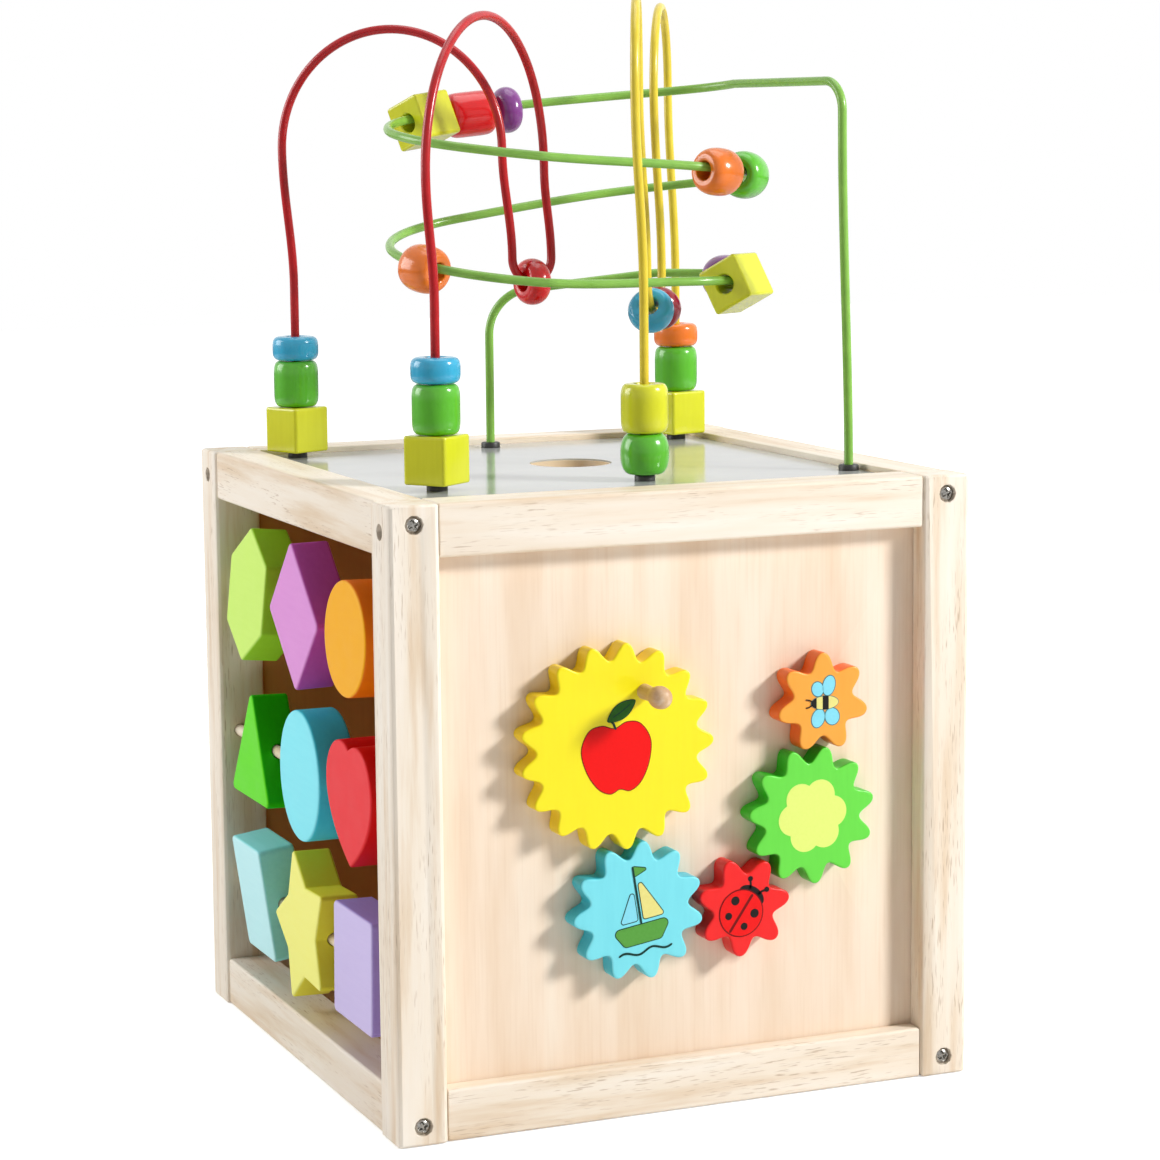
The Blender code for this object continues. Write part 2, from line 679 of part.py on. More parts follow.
def coil_starts():
    """Distance along the coil at which each run starts, and where the coil ends.

    Runs count half turns: 0 lead-in arc and rear straight, 1 left end, 2 front
    straight, 3 right end, 4 rear straight, 5 left end, 6 front straight, 7 right end.
    """
    turn, straight = math.pi * COIL_R, 2 * COIL_HALF
    starts = [0.0, COIL_R * (math.pi / 2 - coil_tangent()) + straight]
    for k in range(2, 8):
        starts.append(starts[-1] + (turn if k % 2 == 0 else straight))
    starts.append(starts[-1] + COIL_R * (COIL_EXIT + math.pi / 2))
    return starts


def coil_height(s):
    """Height and slope of the coil: a smooth curve through the heights at its runs' starts."""
    starts = coil_starts()
    heights = [COIL_TOP]
    for drop in COIL_DROPS[:-1]:
        heights.append(heights[-1] - drop)
    slopes = [(b - a) / (t - r) for a, b, r, t in zip(heights, heights[1:], starts, starts[1:])]
    ends = [slopes[0]] + [(a + b) / 2 for a, b in zip(slopes, slopes[1:])] + [slopes[-1]]
    k = max(i for i in range(8) if i == 0 or s >= starts[i])
    span = starts[k + 1] - starts[k]
    t = (s - starts[k]) / span
    rise = heights[k + 1] - heights[k]
    bend0, bend1 = ends[k] * span - rise, rise - ends[k + 1] * span
    height = heights[k] + rise * t + t * (1 - t) * (bend0 * (1 - t) + bend1 * t)
    slope = rise + (1 - 2 * t) * (bend0 * (1 - t) + bend1 * t) + t * (1 - t) * (bend1 - bend0)
    return height, slope / span


def coil_point(run, angle=None, x=None):
    """A point of the flattened coil and its slope: on an end circle or on a straight."""
    cx, cy = COIL_CENTRE
    start = coil_starts()[run]
    if angle is None:
        rear = run % 4 == 0
        if run == 0:
            start = coil_starts()[1] - 2 * COIL_HALF
        height, slope = coil_height(start + (COIL_HALF - x if rear else COIL_HALF + x))
        y = cy + (COIL_R if rear else -COIL_R)
        return Vector((cx + x, y, height)), slope
    side = -1 if run % 4 == 1 else 1
    zero = coil_tangent() if run == 0 else -side * math.pi / 2
    height, slope = coil_height(start + COIL_R * (angle - zero))
    px = cx + side * COIL_HALF + COIL_R * math.cos(angle)
    return Vector((px, cy + COIL_R * math.sin(angle), height)), slope


def green_path():
    """Front leg, lead-in, two and a half flattened turns, run out and rear leg."""
    up = Vector((0, 0, 1))
    a0 = coil_tangent()
    touch = coil_point(0, angle=a0)[0]
    foot = Vector((*GREEN_FRONT, WIRE_END))
    top = Vector((foot.x + GREEN_LEAN, foot.y, COIL_TOP - GREEN_BEND))
    ahead = Vector((touch.x - top.x, touch.y - top.y, 0)).normalized()
    points = [foot] + bowed(foot, top, LEG_STEPS)
    points += arc(top + ahead * GREEN_BEND, -ahead, up, GREEN_BEND, 0, math.pi / 2, 6)
    points += line(points[-1], touch)
    points += [coil_point(0, angle=a0 + (math.pi / 2 - a0) * k / 8)[0] for k in range(1, 9)]
    for k in (0, 4):
        end = COIL_EXIT if k else math.pi / 2
        last = COIL_STEPS - 1 if k else COIL_STEPS
        points.append(coil_point(k, x=0.0)[0])
        turns = [math.pi * (0.5 + j / COIL_STEPS) for j in range(COIL_STEPS + 1)]
        points += [coil_point(k + 1, angle=angle)[0] for angle in turns]
        points.append(coil_point(k + 2, x=0.0)[0])
        turns = [(end + math.pi / 2) * j / last - math.pi / 2 for j in range(last + 1)]
        points += [coil_point(k + 3, angle=angle)[0] for angle in turns]
    leave = points[-1]
    heading = Vector((-math.sin(COIL_EXIT), math.cos(COIL_EXIT), 0))
    reach = (GREEN_REAR_Y - leave.y) / heading.y
    foot = leave + heading * reach
    turn = foot - heading * GREEN_FOOT_BEND
    turn.z -= COIL_DROPS[-1]
    points += line(leave, turn)
    points += arc(turn - up * GREEN_FOOT_BEND, up, heading, GREEN_FOOT_BEND, 0, math.pi / 2, 7)
    points += line(points[-1], (foot.x, foot.y, WIRE_END))
    return points


def add_tube(bm, points, radius):
    """Sweep a round section along points, turning its frame as little as it can."""
    tangents = []
    for i in range(len(points)):
        before = points[i] - points[max(i - 1, 0)]
        after = points[min(i + 1, len(points) - 1)] - points[i]
        tangents.append((before.normalized() + after.normalized()).normalized())
    normal = tangents[0].orthogonal().normalized()
    rings = []
    for i, (point, tangent) in enumerate(zip(points, tangents)):
        if i:
            normal = (normal - tangent * normal.dot(tangent)).normalized()
        other = tangent.cross(normal)
        ring = []
        for k in range(WIRE_SIDES):
            a = TAU * k / WIRE_SIDES
            ring.append(point + (normal * math.cos(a) + other * math.sin(a)) * radius)
        rings.append(ring)
    add_rings(bm, rings)


def wire_paths():
    """Centre lines of the three wires."""
    red = arch_path((RED_REAR, RED_FRONT), RED_LOW, RED_LOW_TURN, RED_LOW_R, RED_LOW_Z,
                    RED_PEAKS, RED_SWAY)
    yellow = arch_path((YELLOW_FRONT, YELLOW_REAR), YELLOW_LOW, YELLOW_LOW_TURN, YELLOW_LOW_R,
                       YELLOW_LOW_Z, YELLOW_PEAKS, YELLOW_SWAY)
    return {"red": red, "yellow": yellow, "green": green_path()}


def make_maze(mats):
    """Glossy top board with a collar round each wire foot, and the three wires."""
    edge = INNER - FIT
    board = bmesh.new()
    add_box(board, (-edge, -edge, BOARD_LOW), (edge, edge, BOARD_TOP))
    obj = finish("top_board", board, mats["board"], (0, 0, BOARD_LOW))
    holes, caps = bmesh.new(), bmesh.new()
    x, y = FINGER_AT
    add_rod(holes, (x, y, BOARD_LOW - OVER), (x, y, BOARD_TOP + OVER), FINGER_HOLE / 2, 28)
    inner = WIRE / 2 + FIT
    for key, path in wire_paths().items():
        bm = bmesh.new()
        add_tube(bm, path, WIRE / 2)
        finish("wire_" + key, bm, mats["wire_" + key], (0, 0, BOARD_TOP), 60)
        for foot in (path[0], path[-1]):
            seat, mouth = BOARD_TOP - WIRE_SEAT, BOARD_TOP + CAP_HIGH + OVER
            add_rod(holes, (foot.x, foot.y, seat), (foot.x, foot.y, mouth), inner, 10)
            profile = [(CAP / 2, -OVER), (CAP / 2, CAP_HIGH - EASE), (CAP / 2 - EASE, CAP_HIGH)]
            add_turned(caps, profile, (foot.x, foot.y, BOARD_TOP), (0, 0, 1), 12)
    combine(obj, caps, "UNION")
    combine(obj, holes, "DIFFERENCE")


# Beads
def bead_profile(length, radius, end, power, steps=6):
    """Closed (radius, height) loop: straight bore, flat rims and a bulged side."""
    bore = BORE / 2
    out = [(bore, -length / 2), (bore, length / 2)]
    for k in range(steps):
        t = math.cos(math.pi * k / (steps - 1))
        bulge = (1 - abs(t) ** power) ** (1 / 2)
        out.append((end + (radius - end) * bulge, t * length / 2))
    return out


def make_round_bead(name, kind, centre, axis, origin, mat):
    """A turned bead: barrel, disc, round or ring."""
    r = BEAD / 2
    spec = {"barrel": (BARREL_LONG, r * 0.97, r * 0.72, 6), "disc": (DISC_LONG, r, r * 0.52, 2),
            "round": (ROUND_LONG, r, r * 0.62, 2.4), "ring": (RING_LONG, r, r * 0.66, 2)}[kind]
    bm = bmesh.new()
    add_turned(bm, bead_profile(*spec), centre, axis, BEAD_SIDES, tube=True)
    return finish(name, bm, mat, origin, 40)


def make_cube_bead(name, centre, axis, twist, origin, mat):
    """A cube bead with eased edges, bored along the axis."""
    turn = frame_along(axis) @ Matrix.Rotation(twist, 3, "Z")
    h, e = CUBE_BEAD / 2, EASE
    square = rounded([(-h, -h), (h, -h), (h, h), (-h, h)], EASE * 1.5, 2)
    small = offset(square, e)
    bm = bmesh.new()
    rings = []
    for ring, z in ((small, -h), (square, e - h), (square, h - e), (small, h)):
        rings.append([Vector(centre) + turn @ Vector((u, v, z)) for u, v in ring])
    add_rings(bm, rings)
    obj = finish(name, bm, mat, origin, 30)
    hole = bmesh.new()
    step = Vector(axis).normalized() * (h + OVER)
    add_rod(hole, Vector(centre) - step, Vector(centre) + step, BORE / 2)
    combine(obj, hole, "DIFFERENCE")
    return obj


def stack_specs():
    """Stacked beads from the bottom: name, kind, paint, twist of a cube."""
    return {
        "rear_left": (RED_REAR, [("cube", "yellow", 25), ("barrel", "green", 0), ("disc", "blue", 0)]),
        "front_left": (RED_FRONT, [("cube", "yellow", 38), ("barrel", "green", 0), ("disc", "blue", 0)]),
        "front_right": (YELLOW_FRONT, [("round", "green", 0), ("barrel", "yellow", 0)]),
        "rear_right": (YELLOW_REAR, [("cube", "yellow", 15), ("barrel", "green", 0), ("disc", "orange", 0)]),
    }


def make_stacks(mats):
    """Beads resting on one another round the straight wire legs."""
    long = {"cube": CUBE_BEAD, "barrel": BARREL_LONG, "disc": DISC_LONG, "round": ROUND_LONG}
    for where, (foot, beads) in stack_specs().items():
        z = STACK_FLOOR
        for kind, paint, twist in beads:
            centre = (foot[0], foot[1], z + long[kind] / 2)
            name = "bead_%s_%s" % (where, kind)
            if kind == "cube":
                turn = math.radians(twist)
                make_cube_bead(name, centre, (0, 0, 1), turn, centre, mats["bead_" + paint])
            else:
                make_round_bead(name, kind, centre, (0, 0, 1), centre, mats["bead_" + paint])
            z += long[kind] + STACK_GAP


def low_ring(low_at, low_turn, low_r, low_z, lean):
    """Centre, tangent, arc centre and arc axis of a ring on a low half turn."""
    along = Vector((math.cos(low_turn), math.sin(low_turn), 0))
    up = Vector((0, 0, 1))
    middle = Vector((*low_at, low_z + low_r))
    out = along * math.sin(lean) - up * math.cos(lean)
    tangent = along * math.cos(lean) + up * math.sin(lean)
    reach = RING_LONG / 2
    clear = BORE / 2 * math.cos(math.pi / BEAD_SIDES) - WIRE / 2 / math.cos(math.asin(reach / low_r)) - FIT
    centre = middle + out * (math.sqrt(low_r ** 2 - reach ** 2) + clear)
    return centre, tangent, middle, along.cross(up)


def low_specs():
    """The three rings on the low half turns: name, paint and placing."""
    red = (RED_LOW, RED_LOW_TURN, RED_LOW_R, RED_LOW_Z)
    yellow = (YELLOW_LOW, YELLOW_LOW_TURN, YELLOW_LOW_R, YELLOW_LOW_Z)
    return [("bead_low_red", "red", low_ring(*red, 0.0)),
            ("bead_low_blue", "blue", low_ring(*yellow, -YELLOW_RING_LEAN)),
            ("bead_low_crimson", "crimson", low_ring(*yellow, YELLOW_RING_LEAN))]


def coil_specs():
    """Beads on the flattened coil: name, kind, paint, run and place on it."""
    return [
        ("bead_coil_cube_left", "cube", "yellow", 1, math.radians(113.5)),
        ("bead_coil_barrel", "barrel", "red", 0, BARREL_IN - COIL_HALF),
        ("bead_coil_disc", "disc", "purple", 0, DISC_IN - COIL_HALF),
        ("bead_coil_orange_right", "round", "orange", 3, math.radians(-71.0)),
        ("bead_coil_green", "round", "green", 3, math.radians(-46.0)),
        ("bead_coil_orange_left", "round", "orange", 5, math.radians(205.5)),
        ("bead_coil_cube_right", "cube", "yellow", 7, math.radians(-56.0)),
        ("bead_coil_purple", "round", "purple", 7, math.radians(14.0)),
    ]


def coil_bead(run, place):
    """Centre, tangent, turning centre and axis (None on a straight) of a coil bead."""
    if run % 2:
        point, slope = coil_point(run, angle=place)
        tangent = Vector((-math.sin(place), math.cos(place), slope)).normalized()
        inward = Vector((-math.cos(place), -math.sin(place), 0))
        binormal = tangent.cross(inward)
        middle = point + inward * COIL_R * (1 + slope ** 2)
        bow = CUBE_BEAD ** 2 / (16 * COIL_R)
        return point + inward * bow - binormal * HANG, tangent, middle, binormal
    point, slope = coil_point(run, x=place)
    tangent = Vector((-1, 0, slope)).normalized()
    across = Vector((0, -1, 0)).cross(tangent)
    if across.z > 0:
        across.negate()
    return point + across * HANG, tangent, None, None


def make_wire_beads(mats):
    """Rings at the low points and beads along the coil."""
    for name, paint, (centre, tangent, middle, _) in low_specs():
        make_round_bead(name, "ring", centre, tangent, middle, mats["bead_" + paint])
    for name, kind, paint, run, place in coil_specs():
        centre, tangent, middle, _ = coil_bead(run, place)
        origin = centre if middle is None else middle
        if kind == "cube":
            twist = math.radians(62 if run == 7 else 20)
            make_cube_bead(name, centre, tangent, twist, origin, mats["bead_" + paint])
        else:
            make_round_bead(name, kind, centre, tangent, origin, mats["bead_" + paint])


def make_materials():
    """Every material of the toy by key; colours are linear."""
    table = {
        "beech": ((0.86, 0.73, 0.54), 0.55), "plywood": ((0.84, 0.69, 0.50), 0.6),
        "beech_dowel": ((0.78, 0.62, 0.40), 0.5), "beech_knob": ((0.66, 0.49, 0.34), 0.35),
        "board": ((0.52, 0.53, 0.52), 0.15),
        "paint_yellow": ((1.0, 0.87, 0.03), 0.35), "paint_blue": ((0.22, 0.80, 0.95), 0.35),
        "paint_red": ((0.90, 0.03, 0.03), 0.35), "paint_green": ((0.16, 0.78, 0.10), 0.35),
        "paint_orange": ((0.94, 0.34, 0.05), 0.35), "paint_lime": ((0.50, 0.88, 0.15), 0.35),
        "paint_violet": ((0.70, 0.32, 0.68), 0.35), "paint_amber": ((0.95, 0.42, 0.04), 0.35),
        "paint_leaf": ((0.16, 0.75, 0.06), 0.35), "paint_sky": ((0.20, 0.80, 0.90), 0.35),
        "paint_cherry": ((0.80, 0.04, 0.05), 0.35), "paint_aqua": ((0.40, 0.85, 0.85), 0.35),
        "paint_lemon": ((0.95, 0.88, 0.18), 0.35), "paint_lilac": ((0.54, 0.40, 0.75), 0.35),
        "bead_yellow": ((0.74, 0.76, 0.03), 0.3), "bead_green": ((0.10, 0.45, 0.03), 0.3),
        "bead_blue": ((0.04, 0.45, 0.70), 0.3), "bead_orange": ((0.92, 0.26, 0.03), 0.3),
        "bead_red": ((0.75, 0.01, 0.01), 0.3), "bead_crimson": ((0.20, 0.00, 0.01), 0.3),
        "bead_purple": ((0.24, 0.03, 0.22), 0.3),
        "wire_red": ((0.52, 0.01, 0.02), 0.25), "wire_yellow": ((0.85, 0.66, 0.09), 0.25),
        "wire_green": ((0.30, 0.62, 0.10), 0.25),
    }
    return {key: material(key, colour, rough) for key, (colour, rough) in table.items()}


def build():
    """Build the whole cube."""
    clear_scene()
    mats = make_materials()
    make_frame(mats)
    make_gears(mats)
    make_blocks(mats)
    make_maze(mats)
    make_stacks(mats)
    make_wire_beads(mats)


if __name__ == "__main__":
    build()
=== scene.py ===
"""Looks of a wooden activity cube: pale wood frame, enamelled gears and blocks, beads on bent wires.

Metres, +Z up, the gear face towards -Y and the open shape face towards -X, as in model.glb.
What each piece is made of is a guess from its look: the record calls the frame's wood beech and
the board's face lacquer, and here they are drawn as rubberwood and melamine.
"""
import math

import bmesh
import bpy
import numpy as np
from mathutils import Matrix, Vector


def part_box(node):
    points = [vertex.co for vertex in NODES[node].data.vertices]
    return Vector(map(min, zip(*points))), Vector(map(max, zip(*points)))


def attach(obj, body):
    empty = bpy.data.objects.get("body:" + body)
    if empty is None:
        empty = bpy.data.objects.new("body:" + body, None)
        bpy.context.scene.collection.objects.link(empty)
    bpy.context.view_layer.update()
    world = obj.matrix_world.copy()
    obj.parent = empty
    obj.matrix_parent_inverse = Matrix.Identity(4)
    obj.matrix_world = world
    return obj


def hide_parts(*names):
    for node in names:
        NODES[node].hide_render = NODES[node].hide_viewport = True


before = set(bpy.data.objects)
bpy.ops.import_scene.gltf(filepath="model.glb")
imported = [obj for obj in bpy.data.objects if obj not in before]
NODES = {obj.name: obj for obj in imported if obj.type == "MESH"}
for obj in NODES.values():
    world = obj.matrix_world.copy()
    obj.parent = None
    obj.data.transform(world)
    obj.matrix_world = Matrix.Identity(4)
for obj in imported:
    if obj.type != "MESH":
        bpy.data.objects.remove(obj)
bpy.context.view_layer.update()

TAU = 2 * math.pi
UP = np.array((0.0, 0.0, 1.0))

# Sizes of the cube, as in model.glb
CUBE = 0.300
HALF = CUBE / 2
POST = 0.025
INNER = HALF - POST
FIT = 0.0003
POST_EASE, RAIL_EASE, PANEL_EASE = 0.0004, 0.0006, 0.0002
BOARD_TOP = 0.297
BOARD_LOW = 0.288
FINGER_AT = (0.008, 0.014)
FINGER_R = 0.020
SCREW_EDGE = 0.0092
SCREW_R = 0.0039
COUNTERBORE = 0.0025
BOLT_EDGE = 0.0130
BOLT_R = 0.0034
COLLAR_R = 0.0051          # slimmer than the node's 6 mm, so that it hides under the beads
COLLAR_HIGH = 0.0030

# Gear train: teeth, tip radius, and the angle and slack of each mesh, in degrees
GEAR_FACE = -HALF
GEAR_THICK = 0.0115
GEAR_SKIN = 0.0030
GEAR_EDGE = 0.0009
TOOTH_HIGH, TOOTH_FLAT = 0.0080, 0.03
TOOTH_OVERLAP = 0.0029
AXLE_BORE = 0.0043
TRAIN = (("yellow", 17, 0.0495, None, None), ("blue", 11, 0.0338, -82.8, 1.5),
         ("red", 7, 0.0244, -3.9, -2.5), ("green", 11, 0.0338, 48.5, 2.0),
         ("orange", 7, 0.0244, 84.0, -5.4))
YELLOW_AT = (-0.0375, 0.1803)
YELLOW_PHASE = math.radians(84.5)
KNOB_RADIUS = 0.0289
KNOB_ANGLE = math.radians(62.4)
KNOB_HIGH = 0.0240
INK = 0.00008

# Shape blocks and rods
ROD_R = 0.0030
ROD_BORE_R = 0.0036
ROD_X = -0.1390
ROD_REACH = 0.1362
BLOCK_THICK = 0.0200
BLOCK_EDGE = 0.0013
ROWS = (0.2295, 0.1500, 0.0705)

# Wires
WIRE_R = 0.00225
WIRE_END = 0.2903
LEG_STRAIGHT = BOARD_TOP + 0.090
RED_REAR, RED_FRONT = (-0.109, 0.108), (-0.098, -0.074)
RED_LOW, RED_LOW_TURN, RED_LOW_R, RED_LOW_Z = (-0.005, 0.032), math.radians(11.5), 0.0120, 0.3900
RED_PEAKS, RED_SWAY = (0.519, 0.523), (-0.0050, -0.0035)
YELLOW_FRONT, YELLOW_REAR = (0.008, -0.080), (0.110, 0.106)
YELLOW_LOW, YELLOW_LOW_TURN, YELLOW_LOW_R, YELLOW_LOW_Z = (0.0565, 0.015), math.radians(55.0), 0.0200, 0.3730
YELLOW_PEAKS, YELLOW_SWAY = (0.531, 0.531), (-0.0040, -0.0040)
YELLOW_RING_LEAN = math.radians(29.0)
GREEN_FRONT, GREEN_REAR_Y, GREEN_LEAN = (0.118, -0.084), 0.108, -0.0040
COIL_CENTRE, COIL_HALF, COIL_R, COIL_TOP = (0.0095, 0.012), 0.0385, 0.0570, 0.4900
COIL_DROPS = (0.0130, 0.0225, 0.0055, 0.0160, 0.0110, 0.0290, 0.0015, 0.0005, 0.0080)
COIL_EXIT = math.radians(58.5)
GREEN_BEND, GREEN_FOOT_BEND = 0.0150, 0.0250

# Beads
BEAD_BORE = 0.0049
BEAD_R = 0.0120
BARREL_LONG, DISC_LONG, CUBE_BEAD, ROUND_LONG, RING_LONG = 0.0240, 0.0125, 0.0235, 0.0200, 0.0120
STACK_GAP = 0.0003
STACK_FLOOR = BOARD_TOP + COLLAR_HIGH + STACK_GAP
HANG = 0.0019

# Camera, from the photograph's view of the cube's corners
CAMERA_AT = (-0.62543, -1.50155, 0.46865)
CAMERA_YAW = math.radians(22.8326)
CAMERA_PITCH = math.radians(-8.0666)
CAMERA_ROLL = math.radians(-0.5222)
FOCAL_PIXELS, FRAME_PIXELS, SENSOR = 3199.27, 1160, 36.0


# Materials
NOISE, RAMP, MIX, BUMP = "ShaderNodeTexNoise", "ShaderNodeValToRGB", "ShaderNodeMix", "ShaderNodeBump"
COORDS, RANGE = "ShaderNodeTexCoord", "ShaderNodeMapRange"
VECTOR, MATH = "ShaderNodeVectorMath", "ShaderNodeMath"


def linear(code):
    """Linear colour of an sRGB hex value: each channel's share to the power that sRGB defines."""
    share = np.array([int(code[i:i + 2], 16) for i in (0, 2, 4)]) / 255
    curve = np.where(share <= 0.04045, share / 12.92, ((share + 0.055) / 1.055) ** 2.4)
    return (*curve.tolist(), 1.0)


def grey(level):
    """An even grey for a mask, by its linear level."""
    return (level, level, level, 1.0)


def add(tree, kind, links=None, values=None, stops=(), **settings):
    """A node with its settings, its input values, the sockets that feed it and a ramp's stops."""
    node = tree.nodes.new(kind)
    for key, value in settings.items():
        setattr(node, key, value)
    for key, value in (values or {}).items():
        node.inputs[key].default_value = value
    for key, socket in (links or {}).items():
        tree.links.new(socket, node.inputs[key])
    for k, (place, colour) in enumerate(stops):
        point = node.color_ramp.elements[k] if k < 2 else node.color_ramp.elements.new(place)
        point.position = place
        point.color = colour
    return node


def new_material(name):
    """An empty node material: its tree, its Principled shader and its Object coordinates."""
    mat = bpy.data.materials.new(name)
    mat.use_nodes = True
    tree = mat.node_tree
    return mat, tree, tree.nodes["Principled BSDF"], add(tree, COORDS).outputs["Object"]


def connect(tree, shader, colour, bump=None, rough=None, span=(0.0, 1.0)):
    """Feed the shader its colour, its bump node's normal and a roughness spread over a span."""
    tree.links.new(colour, shader.inputs["Base Color"])
    if bump is not None:
        tree.links.new(bump.outputs["Normal"], shader.inputs["Normal"])
    if rough is not None:
        spread = add(tree, RANGE, {"Value": rough}, {"To Min": span[0], "To Max": span[1]})
        tree.links.new(spread.outputs["Result"], shader.inputs["Roughness"])


def along_grain(tree, spots, grain, stretch, shift):
    """Object coordinates drawn out along the grain by a factor and shifted to another board."""
    scale = [1.0, 1.0, 1.0]
    scale["xyz".index(grain)] = 1 / stretch
    return add(tree, "ShaderNodeMapping", {"Vector": spots},
               {"Scale": scale, "Location": shift}).outputs["Vector"]


def rubberwood(name, grain, board, light="F5E8D6", dark="E4CCAE", pore="A9855F", pores=0.55):
    """Planed rubberwood under clear satin lacquer: pale, softly banded, with short open pores.

    The bands are about 5 mm wide and drawn out along the grain. The real pores are 0.2 mm
    wide, too fine to show, so they are drawn 0.6 mm wide and 9 mm long.
    """
    mat, tree, shader, spots = new_material(name)
    shift = (0.37 * board, 0.61 * board, 0.23 * board)
    bands = add(tree, NOISE, {"Vector": along_grain(tree, spots, grain, 14, shift)},
                {"Scale": 1 / 0.009, "Detail": 5.0, "Roughness": 0.55}).outputs["Fac"]
    wood = add(tree, RAMP, {"Fac": bands},
               stops=((0.32, linear(dark)), (0.50, linear(light)), (0.72, linear("FAF1E4"))))
    patches = add(tree, NOISE, {"Vector": along_grain(tree, spots, grain, 4, shift)},
                  {"Scale": 1 / 0.060, "Detail": 2.0})
    stain = add(tree, RAMP, {"Fac": patches.outputs["Fac"]}, stops=((0.45, grey(0)), (0.80, grey(0.55))))
    colour = add(tree, MIX, {0: stain.outputs["Color"], 6: wood.outputs["Color"]}, {7: linear(dark)},
                 data_type="RGBA").outputs[2]
    flecks = add(tree, NOISE, {"Vector": along_grain(tree, spots, grain, 15, shift)},
                 {"Scale": 1 / 0.0006, "Detail": 1.0})
    fleck = add(tree, RAMP, {"Fac": flecks.outputs["Fac"]}, stops=((0.60, grey(0)), (0.72, grey(1))))
    where = add(tree, NOISE, {"Vector": along_grain(tree, spots, grain, 6, shift)},
                {"Scale": 1 / 0.012, "Detail": 1.0})
    place = add(tree, RAMP, {"Fac": where.outputs["Fac"]}, stops=((0.42, grey(0)), (0.62, grey(pores))))
    mask = add(tree, MIX, {6: fleck.outputs["Color"], 7: place.outputs["Color"]}, {0: 1.0},
               data_type="RGBA", blend_type="MULTIPLY").outputs[2]
    colour = add(tree, MIX, {0: mask, 6: colour}, {7: linear(pore)}, data_type="RGBA").outputs[2]
    bump = add(tree, BUMP, {"Height": mask}, {"Strength": 0.35, "Distance": 0.0003}, invert=True)
    connect(tree, shader, colour, bump, bands, (0.42, 0.58))
    shader.inputs["Coat Weight"].default_value = 0.12
    shader.inputs["Coat Roughness"].default_value = 0.35
    return mat


def plywood(name, board, grain="z", light="F6E2CC", dark="ECD2B6", inner=None):
    """Sanded birch-faced plywood: a wide, soft, wavy figure and hardly any pores.

    An inner face is (direction, place along it, tint). Its colour is multiplied by the tint,
    because the photograph shows the cavity deep brown: painted shade, standing in for the
    picture's strong contrast. Nothing shows that the real face is stained.
    """
    mat, tree, shader, spots = new_material(name)
    shift = (0.41 * board, 0.29 * board, 0.53 * board)
    figure = add(tree, NOISE, {"Vector": along_grain(tree, spots, grain, 9, shift)},
                 {"Scale": 1 / 0.022, "Detail": 4.0, "Roughness": 0.6}).outputs["Fac"]
    wood = add(tree, RAMP, {"Fac": figure},
               stops=((0.30, linear(dark)), (0.55, linear(light)), (0.80, linear("F9ECDA"))))
    lines = add(tree, NOISE, {"Vector": along_grain(tree, spots, grain, 40, shift)},
                {"Scale": 1 / 0.0016, "Detail": 3.0}).outputs["Fac"]
    streaks = add(tree, RAMP, {"Fac": lines}, stops=((0.50, grey(0)), (0.78, grey(0.16))))
    colour = add(tree, MIX, {0: streaks.outputs["Color"], 6: wood.outputs["Color"]},
                 {7: linear("CFA97E")}, data_type="RGBA").outputs[2]
    # Painted shade: the inner face's colour is multiplied by a brown shade tint.
    if inner:
        direction, place, shade_tint = inner
        reach = add(tree, VECTOR, {0: spots}, {1: direction}, operation="DOT_PRODUCT")
        shade_mask = add(tree, RANGE, {"Value": reach.outputs["Value"]},
                      {"From Min": place - 2 * PANEL_EASE, "From Max": place - PANEL_EASE})
        painted_shade = add(tree, MIX, {6: colour}, {0: 1.0, 7: linear(shade_tint)},
                      data_type="RGBA", blend_type="MULTIPLY")
        colour = add(tree, MIX, {0: shade_mask.outputs["Result"], 6: colour, 7: painted_shade.outputs[2]},
                     data_type="RGBA").outputs[2]
    bump = add(tree, BUMP, {"Height": lines}, {"Strength": 0.15, "Distance": 0.0002})
    connect(tree, shader, colour, bump, figure, (0.50, 0.64))
    return mat


